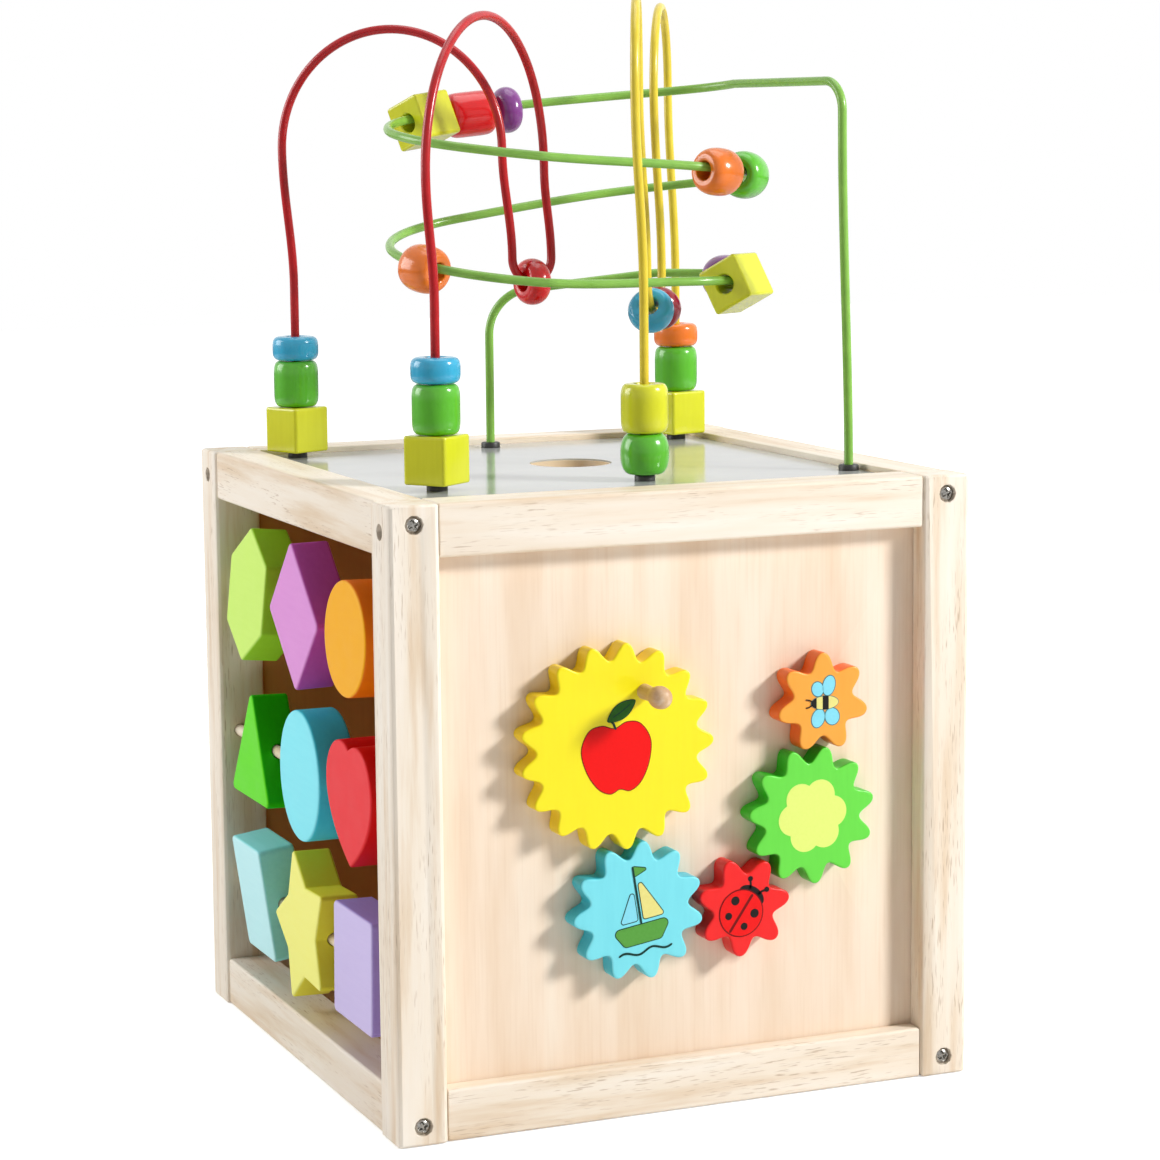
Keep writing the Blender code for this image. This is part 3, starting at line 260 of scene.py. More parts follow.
def enamel(name, code, deep, roughness=0.36, coat=0.10, grain="z", telegraph=0.03, specular=0.35,
           plate=None):
    """Water-based toy enamel sprayed on wood: solid satin colour, the grain just telling through.

    A plate is (direction, middle, half thickness, rounding). Off its two flat faces, by the
    distance to its middle plane, the colour is multiplied by itself: painted shade on the
    sides and rounded edges, deeper and more saturated, as the photograph shows the edges. It
    stands in for its strong contrast: nothing shows that the real edges are painted otherwise.
    """
    mat, tree, shader, spots = new_material(name)
    figure = add(tree, NOISE, {"Vector": along_grain(tree, spots, grain, 10, (0.1, 0.2, 0.3))},
                 {"Scale": 1 / 0.0022, "Detail": 3.0}).outputs["Fac"]
    tone = add(tree, RAMP, {"Fac": figure}, stops=((0.35, grey(0)), (0.75, grey(0.22))))
    colour = add(tree, MIX, {0: tone.outputs["Color"]}, {6: linear(code), 7: linear(deep)},
                 data_type="RGBA").outputs[2]
    # Painted shade on the sides and rounded edges: the colour multiplied by itself off the flat faces.
    if plate:
        direction, middle, half, rounding = plate
        reach = add(tree, VECTOR, {0: spots}, {1: direction}, operation="DOT_PRODUCT")
        offset = add(tree, MATH, {0: reach.outputs["Value"]}, {1: middle}, operation="SUBTRACT")
        away = add(tree, MATH, {0: offset.outputs[0]}, operation="ABSOLUTE")
        flat = add(tree, RANGE, {"Value": away.outputs[0]},
                   {"From Min": half - 0.70 * rounding, "From Max": half - 0.15 * rounding})
        edge = add(tree, MIX, {6: colour, 7: colour}, {0: 1.0}, data_type="RGBA", blend_type="MULTIPLY")
        colour = add(tree, MIX, {0: flat.outputs["Result"], 6: edge.outputs[2], 7: colour},
                     data_type="RGBA").outputs[2]
    peel = add(tree, NOISE, {"Vector": spots}, {"Scale": 1 / 0.0016, "Detail": 2.0})
    height = add(tree, MIX, {6: figure, 7: peel.outputs["Fac"]}, {0: 0.5}, data_type="RGBA")
    bump = add(tree, BUMP, {"Height": height.outputs[2]}, {"Strength": telegraph, "Distance": 0.0002})
    smear = add(tree, NOISE, {"Vector": spots}, {"Scale": 1 / 0.012, "Detail": 2.0})
    connect(tree, shader, colour, bump, smear.outputs["Fac"], (roughness * 0.85, roughness * 1.2))
    shader.inputs["Specular IOR Level"].default_value = specular
    shader.inputs["Coat Weight"].default_value = coat
    shader.inputs["Coat Roughness"].default_value = 0.12
    return mat


def bead_gloss(name, code, deep):
    """Dipped gloss enamel on a turned bead: wet shine over an even colour."""
    return enamel(name, code, deep, roughness=0.22, coat=0.45, telegraph=0.02)


def vinyl(name, code, deep):
    """Vinyl dip on steel wire: even, waxy gloss with a slight wave in its thickness."""
    mat, tree, shader, spots = new_material(name)
    wave = add(tree, NOISE, {"Vector": spots}, {"Scale": 1 / 0.010, "Detail": 2.0}).outputs["Fac"]
    colour = add(tree, MIX, {0: wave}, {6: linear(code), 7: linear(deep)}, data_type="RGBA")
    bump = add(tree, BUMP, {"Height": wave}, {"Strength": 0.2, "Distance": 0.0004})
    connect(tree, shader, colour.outputs[2], bump)
    shader.inputs["Roughness"].default_value = 0.26
    shader.inputs["Specular IOR Level"].default_value = 0.35
    shader.inputs["Coat Weight"].default_value = 0.15
    shader.inputs["Coat Roughness"].default_value = 0.1
    return mat


def gloss_lacquer(name):
    """Grey melamine face of the top board, polished so that it mirrors what stands on it."""
    mat, tree, shader, spots = new_material(name)
    cloud = add(tree, NOISE, {"Vector": spots}, {"Scale": 1 / 0.080, "Detail": 2.0})
    colour = add(tree, RAMP, {"Fac": cloud.outputs["Fac"]},
                 stops=((0.3, linear("B4B6B4")), (0.7, linear("C2C4C1"))))
    wave = add(tree, NOISE, {"Vector": spots}, {"Scale": 1 / 0.020, "Detail": 2.0}).outputs["Fac"]
    bump = add(tree, BUMP, {"Height": wave}, {"Strength": 0.05, "Distance": 0.0003})
    connect(tree, shader, colour.outputs["Color"], bump, wave, (0.10, 0.16))
    return mat


def pressed_steel(name, code, dull, roughness):
    """A pressed steel fastener, nickel-plated or blackened: metal with a fine, cloudy polish."""
    mat, tree, shader, spots = new_material(name)
    haze = add(tree, NOISE, {"Vector": spots}, {"Scale": 1 / 0.0012, "Detail": 3.0}).outputs["Fac"]
    colour = add(tree, MIX, {0: haze}, {6: linear(code), 7: linear(dull)}, data_type="RGBA")
    connect(tree, shader, colour.outputs[2], None, haze, (roughness * 0.8, roughness * 1.3))
    shader.inputs["Metallic"].default_value = 1.0
    return mat


def moulded_nylon(name, code):
    """Black nylon collar: matt, with the fine grain of its mould."""
    mat, tree, shader, spots = new_material(name)
    grit = add(tree, NOISE, {"Vector": spots}, {"Scale": 1 / 0.0007, "Detail": 2.0}).outputs["Fac"]
    colour = add(tree, MIX, {0: grit}, {6: linear(code), 7: linear("2B2A28")}, data_type="RGBA")
    bump = add(tree, BUMP, {"Height": grit}, {"Strength": 0.2, "Distance": 0.0001})
    connect(tree, shader, colour.outputs[2], bump)
    shader.inputs["Roughness"].default_value = 0.45
    return mat


def screen_ink(name, code, deep):
    """Screen-printed ink: flat colour with a faint mottle and a satin face."""
    mat, tree, shader, spots = new_material(name)
    mottle = add(tree, NOISE, {"Vector": spots}, {"Scale": 1 / 0.0015, "Detail": 2.0}).outputs["Fac"]
    colour = add(tree, MIX, {0: mottle}, {6: linear(code), 7: linear(deep)}, data_type="RGBA")
    connect(tree, shader, colour.outputs[2], None, mottle, (0.36, 0.48))
    shader.inputs["Specular IOR Level"].default_value = 0.2
    return mat


# Shapes as grids of points
def shell(rings, loop):
    """Points and outward faces of a closed shell over a grid of rings.

    Point (v, u) is place u on ring v. Rings close on themselves; the first and last ring
    are joined to each other in a loop, and otherwise each closes on its middle.
    """
    rings = np.asarray(rings, float)
    count, around = rings.shape[:2]
    index = np.arange(count * around).reshape(count, around)
    low = index if loop else index[:-1]
    high = np.roll(index, -1, 0) if loop else index[1:]
    quads = np.stack([low, np.roll(low, -1, 1), np.roll(high, -1, 1), high], -1).reshape(-1, 4)
    points = rings.reshape(-1, 3)
    tris = np.zeros((0, 3), int)
    if not loop:
        points = np.vstack([points, rings[0].mean(0), rings[-1].mean(0)])
        first, last = index[0], index[-1]
        tris = np.vstack([
            np.stack([np.full(around, count * around), np.roll(first, -1), first], -1),
            np.stack([np.full(around, count * around + 1), last, np.roll(last, -1)], -1)])
    halves = np.vstack([quads[:, [0, 1, 2]], quads[:, [0, 2, 3]], tris])
    a, b, c = (points[halves[:, k]] for k in range(3))
    if np.einsum("ij,ij->i", a, np.cross(b, c)).sum() < 0:
        quads, tris = quads[:, ::-1], tris[:, ::-1]
    return points, quads, tris


def piece(name, shells, body, stands_for=(), smooth=40.0):
    """An object made of closed shells, each (rings, material, loop), that rides on a body."""
    points, faces, paint, materials, start = [], [], [], [], 0
    for rings, mat, loop in shells:
        if mat not in materials:
            materials.append(mat)
        spots, quads, tris = shell(rings, loop)
        points.append(spots)
        faces += (quads + start).tolist() + (tris + start).tolist()
        paint += [materials.index(mat)] * (len(quads) + len(tris))
        start += len(spots)
    mesh = bpy.data.meshes.new(name)
    mesh.from_pydata(np.vstack(points).tolist(), [], faces)
    for mat in materials:
        mesh.materials.append(mat)
    mesh.polygons.foreach_set("material_index", paint)
    return settle(name, mesh, body, stands_for, smooth)


def settle(name, mesh, body, stands_for=(), smooth=40.0):
    """Put a finished mesh in the scene on its body, for the nodes that it stands for."""
    mesh.polygons.foreach_set("use_smooth", [True] * len(mesh.polygons))
    mesh.set_sharp_from_angle(angle=math.radians(smooth))
    obj = bpy.data.objects.new(name, mesh)
    bpy.context.scene.collection.objects.link(obj)
    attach(obj, body)
    if stands_for:
        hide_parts(*stands_for)
    return obj


def axes_along(axis):
    """Two unit vectors square to an axis, and the axis, as the rows of a matrix."""
    axis = np.asarray(axis, float) / np.linalg.norm(axis)
    side = np.cross(UP if abs(axis[2]) < 0.9 else (1.0, 0.0, 0.0), axis)
    side /= np.linalg.norm(side)
    return np.stack([side, np.cross(axis, side), axis])


def turned(profile, centre, axis, around=40):
    """Rings of a turned form: each (radius, height) is a circle about the axis."""
    profile = np.asarray(profile, float)
    angle = np.linspace(0, TAU, around, endpoint=False)
    local = np.stack([profile[:, :1] * np.cos(angle), profile[:, :1] * np.sin(angle),
                      np.repeat(profile[:, 1:], around, 1)], -1)
    return local @ axes_along(axis) + np.asarray(centre, float)


def quarter(steps=4):
    """Sine and cosine over a quarter turn, for rounded edges."""
    angle = np.linspace(0, math.pi / 2, steps + 1)
    return np.sin(angle), np.cos(angle)


def outward(curve):
    """Unit normals of a closed counter-clockwise curve: its central difference turned clockwise."""
    along = np.roll(curve, -1, 0) - np.roll(curve, 1, 0)
    along /= np.linalg.norm(along, axis=1)[:, None]
    return np.stack([along[:, 1], -along[:, 0]], -1)


def rounded(corners, radius, steps=6):
    """A counter-clockwise polygon whose corners are arcs of one radius."""
    corners = np.asarray(corners, float)
    back = np.roll(corners, 1, 0) - corners
    ahead = np.roll(corners, -1, 0) - corners
    back /= np.linalg.norm(back, axis=1)[:, None]
    ahead /= np.linalg.norm(ahead, axis=1)[:, None]
    half = np.arccos(np.clip((back * ahead).sum(1), -1, 1)) / 2
    middle = (back + ahead) / np.linalg.norm(back + ahead, axis=1)[:, None]
    centre = corners + middle * (radius / np.sin(half))[:, None]
    start = corners + back * (radius / np.tan(half))[:, None] - centre
    end = corners + ahead * (radius / np.tan(half))[:, None] - centre
    sweep = np.arctan2(start[:, 0] * end[:, 1] - start[:, 1] * end[:, 0], (start * end).sum(1))
    turn = sweep[:, None] * np.linspace(0, 1, steps + 1)
    x = centre[:, :1] + start[:, :1] * np.cos(turn) - start[:, 1:] * np.sin(turn)
    y = centre[:, 1:] + start[:, :1] * np.sin(turn) + start[:, 1:] * np.cos(turn)
    return np.stack([x, y], -1).reshape(-1, 2)


def evenly(path, around):
    """Points at equal steps along a closed path."""
    path = np.vstack([path, path[:1]])
    run = np.r_[0, np.cumsum(np.linalg.norm(np.diff(path, axis=0), axis=1))]
    want = np.linspace(0, run[-1], around, endpoint=False)
    return np.stack([np.interp(want, run, path[:, k]) for k in (0, 1)], -1)


def slab(curve, low, high, edge, hold=0.0005):
    """(inset curve, height) rings of a plate: quarter-round edges, held flat just beside them."""
    normal = outward(curve)
    sine, cosine = quarter()
    inset = np.r_[edge + hold, edge * (1 - sine), 0]
    height = np.r_[0, edge * (1 - cosine), edge + hold]
    rings = list(zip(inset, low + height)) + list(zip(inset[::-1], high - height[::-1]))
    return [(curve - normal * i, h) for i, h in rings]


def across_x(rings, centre, tilt=0.0):
    """Plate rings of (y, z) curves stacked along X, tilted about Y and moved to a centre."""
    made = np.stack([np.column_stack([np.full(len(c), h), c]) for c, h in rings])
    turn = np.array([[math.cos(tilt), 0, -math.sin(tilt)], [0, 1, 0], [math.sin(tilt), 0, math.cos(tilt)]])
    return made @ turn + np.asarray(centre, float)


def across_y(rings, centre=(0.0, 0.0)):
    """Plate rings of (x, z) curves stacked along Y."""
    return np.stack([np.column_stack([c[:, 0] + centre[0], np.full(len(c), h), c[:, 1] + centre[1]])
                     for c, h in rings])


def circle(radius, around, start=0.0):
    """Points on a circle, counter-clockwise."""
    angle = start + np.linspace(0, TAU, around, endpoint=False)
    return np.stack([radius * np.cos(angle), radius * np.sin(angle)], -1)


def radial(curve, radius):
    """The circle whose points lie in the same directions as a curve's."""
    return curve / np.linalg.norm(curve, axis=1)[:, None] * radius


# Wooden frame
def eased(name, body, mat, width):
    """A node's own solid with its sharp edges broken by a small rounded bevel."""
    bm = bmesh.new()
    bm.from_mesh(NODES[name].data)
    bmesh.ops.remove_doubles(bm, verts=bm.verts, dist=1e-6)
    bmesh.ops.dissolve_limit(bm, angle_limit=math.radians(0.5), verts=bm.verts, edges=bm.edges)
    mesh = bpy.data.meshes.new(name + "_wood")
    bm.to_mesh(mesh)
    bm.free()
    mesh.materials.clear()
    mesh.materials.append(mat)
    obj = settle(name + "_wood", mesh, body, (name,), 25.0)
    bevel = obj.modifiers.new("edge", "BEVEL")
    bevel.width = width
    bevel.segments = 2
    bevel.limit_method = "ANGLE"
    bevel.angle_limit = math.radians(30)
    bevel.harden_normals = True


def make_frame():
    """Posts with upright grain, rails along their length, and plywood panels."""
    posts = ("post_front_left", "post_front_right", "post_rear_left", "post_rear_right")
    for k, name in enumerate(posts):
        eased(name, "frame", rubberwood("rubberwood_" + name, "z", k + 1), POST_EASE)
    for k, side in enumerate(("front", "rear", "left", "right")):
        grain = "x" if side in ("front", "rear") else "y"
        for j, level in enumerate(("top", "bottom")):
            name = "%s_rail_%s" % (level, side)
            eased(name, "frame", rubberwood("rubberwood_" + name, grain, 5 + 2 * k + j), RAIL_EASE)
    # Each panel's inward direction and its shade tint: painted shade on the inner face, brown on the walls,
    # lighter on the base.
    panels = (("front_panel", "z", (0.0, 1.0, 0.0), "DAA262"), ("rear_panel", "z", (0.0, -1.0, 0.0), "DAA262"),
              ("right_panel", "z", (-1.0, 0.0, 0.0), "DAA262"), ("base_panel", "y", (0.0, 0.0, 1.0), "F0D4A4"))
    for k, (name, grain, inward, shade_tint) in enumerate(panels):
        place = max(corner.dot(inward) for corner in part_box(name))
        mat = plywood("birch_" + name, k + 1, grain, inner=(inward, place, shade_tint))
        eased(name, "frame", mat, PANEL_EASE)


def make_rods():
    """Three turned dowels between the left-hand posts."""
    mat = rubberwood("beech_dowel", "y", 21, "F3DFC2", "DDBE94", "A9855C", 0.3)
    profile = [(ROD_R - 0.0004, -ROD_REACH), (ROD_R, -ROD_REACH + 0.0004),
               (ROD_R, ROD_REACH - 0.0004), (ROD_R - 0.0004, ROD_REACH)]
    for level, z in zip(("top", "middle", "bottom"), ROWS):
        rings = turned(profile, (ROD_X, 0, z), (0, 1, 0), 28)
        piece("rod_" + level, [(rings, mat, False)], "frame", ("shape_rod_" + level,))


def make_screws():
    """Pan-head cross-recess screws in their counterbores, front and rear.

    A head's face is a flattened dome, one minus radius to a power, less a cross of two
    slots that fade out along their length and width; a short skirt closes it below.
    """
    mat = pressed_steel("nickel_plated_steel", "B9B6B0", "6E6B66", 0.24)
    skirt, spin = 0.0006, 0.35
    share = np.r_[np.linspace(0.03, 1, 24), 1.0][:, None]
    angle = np.linspace(0, TAU, 64, endpoint=False)[None, :]
    x, y = np.abs(share * SCREW_R * np.cos(angle)), np.abs(share * SCREW_R * np.sin(angle))
    arm = np.minimum(np.maximum(x / 0.0022, y / 0.0006), np.maximum(y / 0.0022, x / 0.0006))
    height = skirt + 0.0015 * (1 - share ** 2.6) - 0.0013 * np.clip((1.3 - arm) / 0.5, 0, 1)
    height[-1] = 0.0
    for sx, hand in ((-1, "left"), (1, "right")):
        for sy, side in ((-1, "front"), (1, "rear")):
            right, up, out = axes_along((0, sy, 0))
            for level, z in (("low", SCREW_EDGE), ("high", CUBE - SCREW_EDGE)):
                centre = np.array((sx * (HALF - POST / 2), sy * (HALF - COUNTERBORE), z))
                rings = (centre + share[..., None] * SCREW_R * (np.cos(angle + spin)[..., None] * right
                         + np.sin(angle + spin)[..., None] * up) + height[..., None] * out)
                piece("screw_%s_%s_%s" % (side, hand, level), [(rings, mat, False)], "frame", smooth=30)


def make_bolts():
    """Blackened cross bolts sunk in the side faces, with a hexagon socket."""
    mat = pressed_steel("blackened_steel", "0E0B0A", "080606", 0.6)
    sink = 0.0030
    angle = np.linspace(0, TAU, 48, endpoint=False)
    hexagon = np.cos(math.pi / 6) / np.cos((angle % (TAU / 6)) - math.pi / 6)
    for sx in (-1, 1):
        ax = axes_along((sx, 0, 0))
        for sy in (-1, 1):
            centre = np.array((sx * (HALF - sink), sy * (HALF - POST / 2), CUBE - BOLT_EDGE))
            way = np.cos(angle)[:, None] * ax[0] + np.sin(angle)[:, None] * ax[1]
            rings = [centre + way * r * shape[:, None] + ax[2] * h for r, h, shape in (
                (0.0016, -0.0020, hexagon), (0.0018, -0.0001, hexagon), (0.0021, 0.0, angle * 0 + 1),
                (BOLT_R - 0.0003, 0.0, angle * 0 + 1), (BOLT_R, -0.0003, angle * 0 + 1),
                (BOLT_R, -0.0045, angle * 0 + 1))]
            name = "bolt_%s_%s" % ("left" if sx < 0 else "right", "front" if sy < 0 else "rear")
            piece(name, [(np.stack(rings), mat, False)], "frame", smooth=30)


# Gear train
def gear_train():
    """Centre and first tooth of each gear: its tooth stands in its neighbour's gap, with some slack."""
    at, phase, tip, teeth = np.array(YELLOW_AT), YELLOW_PHASE, None, None
    made = {}
    for key, count, reach, line, slack in TRAIN:
        if line is not None:
            way = math.radians(line)
            at = at + (tip + reach - TOOTH_OVERLAP) * np.array((math.cos(way), math.sin(way)))
            phase = way + math.pi + (teeth * (way - phase) - math.pi) / count + math.radians(slack)
        tip, teeth = reach, count
        made[key] = (at, phase, count, reach)
    return made


def gear_curve(teeth, tip, phase, per_tooth=20):
    """Tooth wave: a cosine per tooth less a little third harmonic, about the pitch circle."""
    angle = np.linspace(0, TAU, teeth * per_tooth, endpoint=False)
    wave = (np.cos(teeth * angle) - TOOTH_FLAT * np.cos(3 * teeth * angle)) / (1 - TOOTH_FLAT)
    radius = tip - TOOTH_HIGH / 2 + TOOTH_HIGH / 2 * wave
    return np.stack([radius * np.cos(angle + phase), radius * np.sin(angle + phase)], -1)


def make_gears():
    """Five sawn plywood gears with rounded front edges and a blind bore for the axle pin."""
    paints = {"yellow": ("FCEC12", "F6E004"), "blue": ("7CE2EE", "66D2E2"), "red": ("F41414", "E60C0E"),
              "green": ("68DE44", "58CE38"), "orange": ("FAA83C", "F49A30")}
    back = GEAR_FACE + GEAR_THICK
    # The plate that gives each gear's sides and rounded edges their painted shade.
    plate = ((0.0, 1.0, 0.0), (GEAR_FACE + back) / 2, GEAR_THICK / 2, GEAR_EDGE)
    for key, (at, phase, teeth, tip) in gear_train().items():
        curve = gear_curve(teeth, tip, phase)
        body = slab(curve, GEAR_FACE, back, GEAR_EDGE)
        bore = [(radial(curve, AXLE_BORE), back), (radial(curve, AXLE_BORE), GEAR_FACE + GEAR_SKIN)]
        rings = across_y(body + bore, at)
        mat = enamel("toy_enamel_" + key, *paints[key], plate=plate)
        piece("gear_%s_wood" % key, [(rings, mat, False)], "gear_" + key, ("gear_" + key,),
              35)


def make_knob():
    """Turned mushroom knob: a waisted stem under a domed head, as one smooth profile."""
    x = YELLOW_AT[0] + KNOB_RADIUS * math.cos(KNOB_ANGLE)
    z = YELLOW_AT[1] + KNOB_RADIUS * math.sin(KNOB_ANGLE)
    h = KNOB_HIGH
    key = np.array([(0.0, 0.0038), (0.15, 0.0036), (0.30, 0.0035), (0.45, 0.0037), (0.55, 0.0044),
                    (0.63, 0.0051), (0.74, 0.0055), (0.85, 0.0052), (0.93, 0.0043), (0.98, 0.0027),
                    (1.0, 0.0008)])
    along = np.linspace(0, 1, 36)
    radius = np.interp(along, key[:, 0], key[:, 1])
    radius[1:-2] = np.convolve(radius, (0.25, 0.5, 0.25), "same")[1:-2]
    profile = np.column_stack([radius, along * h])
    mat = rubberwood("beech_knob", "y", 23, "D9B58D", "B98D62", "8A6340", 0.5)
    shells = [(turned(profile, (x, GEAR_FACE, z), (0, -1, 0), 36), mat, False)]
    piece("knob_turned", shells, "gear_yellow", ("crank_knob",))


# Pictures on the gears
def drawn(points, around=96):
    """A smooth closed curve through points in millimetres: Catmull-Rom cubics."""
    p = np.asarray(points, float) / 1000
    place = np.arange(around) * len(p) / around
    i, t = place.astype(int), (place % 1)[:, None]
    a, b, c, d = (p[(i + j) % len(p)] for j in (-1, 0, 1, 2))
    square, cube = 2 * a - 5 * b + 4 * c - d, 3 * b - a - 3 * c + d
    return (2 * b + (c - a) * t + square * t ** 2 + cube * t ** 3) / 2


def spot(x, z, wide, high=None, turn=0.0):
    """An ellipse about a point, in millimetres, turned by degrees."""
    return moved(circle(1.0, 72) * (wide / 1000, (high or wide) / 1000), x, z, turn)


def moved(curve, x, z, turn=0.0):
    """A curve turned by degrees and then shifted by millimetres."""
    a = math.radians(turn)
    turned_by = np.array([(math.cos(a), math.sin(a)), (-math.sin(a), math.cos(a))])
    return curve @ turned_by + (x / 1000, z / 1000)


def patch(curve, at, level, grow=0.0):
    """A filled shape in ink, from inside the wood to its layer's height, grown by millimetres."""
    curve = curve + outward(curve) * grow / 1000
    return across_y([(curve, GEAR_FACE + 0.0002), (curve, GEAR_FACE - INK * level)], at)


def bordered(curve, at, level, ink, line, width=0.5):
    """A filled shape with a line round it: a wider patch under a patch."""
    return [(patch(curve, at, level, width), line, False), (patch(curve, at, level + 1), ink, False)]


def stroke(path, width, at, level):
    """A drawn line in millimetres: flat rectangles square to the path, rounded off at both ends."""
    path = np.asarray(path, float) / 1000
    step = np.linalg.norm(np.diff(path, axis=0), axis=1)
    run = np.r_[0, np.cumsum(step)]
    want = np.linspace(0, run[-1], 40)
    path = np.stack([np.interp(want, run, path[:, k]) for k in (0, 1)], -1)
    along = np.gradient(path, axis=0)
    along /= np.linalg.norm(along, axis=1)[:, None]
    half = width / 2000
    near = np.clip(np.minimum(want, run[-1] - want) / half, 0.1, 1)
    side = np.stack([-along[:, 1], along[:, 0]], -1) * (half * np.sqrt(1 - (1 - near) ** 2))[:, None]
    low, high = GEAR_FACE + 0.0002, GEAR_FACE - INK * level
    rows = [np.column_stack([c[:, 0] + at[0], np.full(len(c), y), c[:, 1] + at[1]])
            for c, y in ((path + side, low), (path - side, low), (path - side, high), (path + side, high))]
    return np.stack(rows, 1)


def apple_picture(at, inks):
    """A red apple with a leaf and a stalk."""
    right = [(6.5, 13.6), (13.2, 11.8), (17.6, 3.5), (15.8, -7.0), (11.0, -15.4), (5.2, -18.9)]
    body = drawn([(0.0, 11.4)] + [(-x, z) for x, z in right] + [(0.0, -17.4)] + right[::-1])
    a = np.linspace(0, TAU, 72, endpoint=False)
    leaf = np.stack([8.2 * np.cos(a), 3.5 * np.sin(a) * (1 - 0.5 * np.cos(a) ** 2)], -1) / 1000
    shells = bordered(moved(body, -1.0, -2.4, 5), at, 1, inks["red"], inks["maroon"], 0.45)
    shells += bordered(moved(leaf, 1.5, 17.3, 33), at, 3, inks["leaf"], inks["teal"], 0.35)
    shells.append((stroke([(-1.4, 8.6), (-2.6, 11.5), (-5.2, 14.2)], 1.1, at, 3), inks["teal"], False))
    shells.append((stroke([(-3.0, 14.5), (1.4, 17.0), (6.0, 20.4)], 0.4, at, 5), inks["teal"], False))
    return shells


def boat_picture(at, inks):
    """A sailing boat on a wave."""
    hull = rounded([(-10.0, -15.5), (9.0, -15.5), (15.5, -6.5), (-15.5, -6.5)], 2.2)
    main = rounded([(1.6, -4.2), (12.5, -4.2), (1.6, 16.5)], 1.0)
    jib = rounded([(-1.6, -4.2), (-1.6, 12.0), (-10.5, -4.2)], 1.0)
    flag = rounded([(0.3, 17.2), (7.5, 19.6), (0.3, 22.0)], 0.5)
    wave = [(x, -19.6 + 1.1 * math.sin(x / 2.3)) for x in np.linspace(-14, 14, 40)]
    shells = []
    for curve, ink in ((hull, "grass"), (main, "cream"), (jib, "ice"), (flag, "grass")):
        shells += bordered(moved(curve / 1000, 0, 0, 9), at, 1, inks[ink], inks["teal"], 0.45)
    for path, wide in (([(0, -6.5), (0, 22.2)], 1.0), (wave, 1.0)):
        line = moved(np.asarray(path) / 1000, 0, 0, 9) * 1000
        shells.append((stroke(line, wide, at, 3), inks["teal"], False))
    return shells


def ladybird_picture(at, inks):
    """A ladybird that climbs to the upper right: head, wing case, middle line and four spots."""
    x, z, lean = -1.8, -2.7, 55.0

    def put(curve):
        return moved(moved(curve, 0, 0, lean), x, z)

    def line(path):
        return put(np.asarray(path) / 1000) * 1000

    shells = [(patch(put(spot(9.6, 0, 4.6, 7.4)), at, 1), inks["soot"], False)]
    for hand in (-1, 1):
        feeler = line([(12.0, hand * 2.6), (14.2, hand * 3.6), (16.2, hand * 5.2)])
        shells.append((stroke(feeler, 1.1, at, 1), inks["soot"], False))
        shells.append((patch(put(spot(16.3, hand * 5.3, 1.3)), at, 2), inks["soot"], False))
    shells += bordered(put(spot(0, 0, 11.2)), at, 2, inks["scarlet"], inks["maroon"], 0.55)
    shells.append((stroke(line([(-11.0, 0), (10.6, 0)]), 1.3, at, 4), inks["maroon"], False))
    for u, v, r in ((3.4, 6.2, 2.2), (3.4, -6.2, 2.2), (-4.6, 5.0, 1.8), (-4.6, -5.0, 1.8)):
        shells.append((patch(put(spot(u, v, r)), at, 4), inks["soot"], False))
    return shells


def bee_picture(at, inks):
    """A bee in flight to the left: four wings, a striped body and two feelers."""
    shells = []
    for x, z, wide, high, turn in ((-3.2, 6.8, 3.0, 3.5, 20), (2.8, 8.2, 3.2, 4.8, -14),
                                   (-2.9, -7.4, 3.3, 4.5, -18), (4.6, -7.0, 3.7, 4.1, 25)):
        shells += bordered(spot(x, z, wide, high, turn), at, 1, inks["ice"], inks["slate"], 0.45)
    shells += bordered(spot(0.6, 0, 7.2, 3.2), at, 3, inks["cream"], inks["slate"], 0.3)
    for low, high in ((-6.6, -3.9), (-0.6, 2.6)):
        x = np.linspace(low, high, 24)
        z = 3.3 * np.sqrt(1 - ((x - 0.6) / 7.3) ** 2)
        band = np.vstack([np.stack([x, -z], -1), np.stack([x, z], -1)[::-1]]) / 1000
        shells.append((patch(band, at, 5), inks["soot"], False))
    for hand in (-1, 1):
        shells.append((stroke([(-6.2, hand * 0.9), (-8.0, hand * 1.8), (-9.6, hand * 2.0)], 0.6, at, 5),
                       inks["soot"], False))
    return shells


def flower_picture(at, inks):
    """A pale flower: in each direction the far side of the nearest of six equal circles."""
    a = np.linspace(0, TAU, 240, endpoint=False)
    off = (a - math.radians(7) + TAU / 12) % (TAU / 6) - TAU / 12
    radius = 0.0105 * np.cos(off) + np.sqrt(0.0078 ** 2 - (0.0105 * np.sin(off)) ** 2)
    curve = np.stack([radius * np.cos(a), radius * np.sin(a)], -1)
    return [(patch(curve, at, 1), inks["primrose"], False)]


def make_pictures():
    """A printed picture on each gear's face, in layers of screen ink."""
    codes = {"red": ("F80A0A", "F00606"), "scarlet": ("F41414", "EA0E0E"), "maroon": ("7A0608", "6A0406"),
             "leaf": ("2A6A16", "1E5A10"), "teal": ("123C34", "0C322C"), "grass": ("5FA646", "549A3C"),
             "cream": ("EEE690", "E6DC80"), "ice": ("8EE2F4", "82D8EC"), "soot": ("1A1614", "121010"),
             "slate": ("4E7E86", "44727A"), "primrose": ("E8F684", "E0F078")}
    inks = {key: screen_ink("screen_ink_" + key, *pair) for key, pair in codes.items()}
    pictures = {"yellow": apple_picture, "blue": boat_picture, "red": ladybird_picture,
                "green": flower_picture, "orange": bee_picture}
    for key, (at, _, _, _) in gear_train().items():
        piece("picture_" + key, pictures[key](at, inks), "gear_" + key, smooth=30)


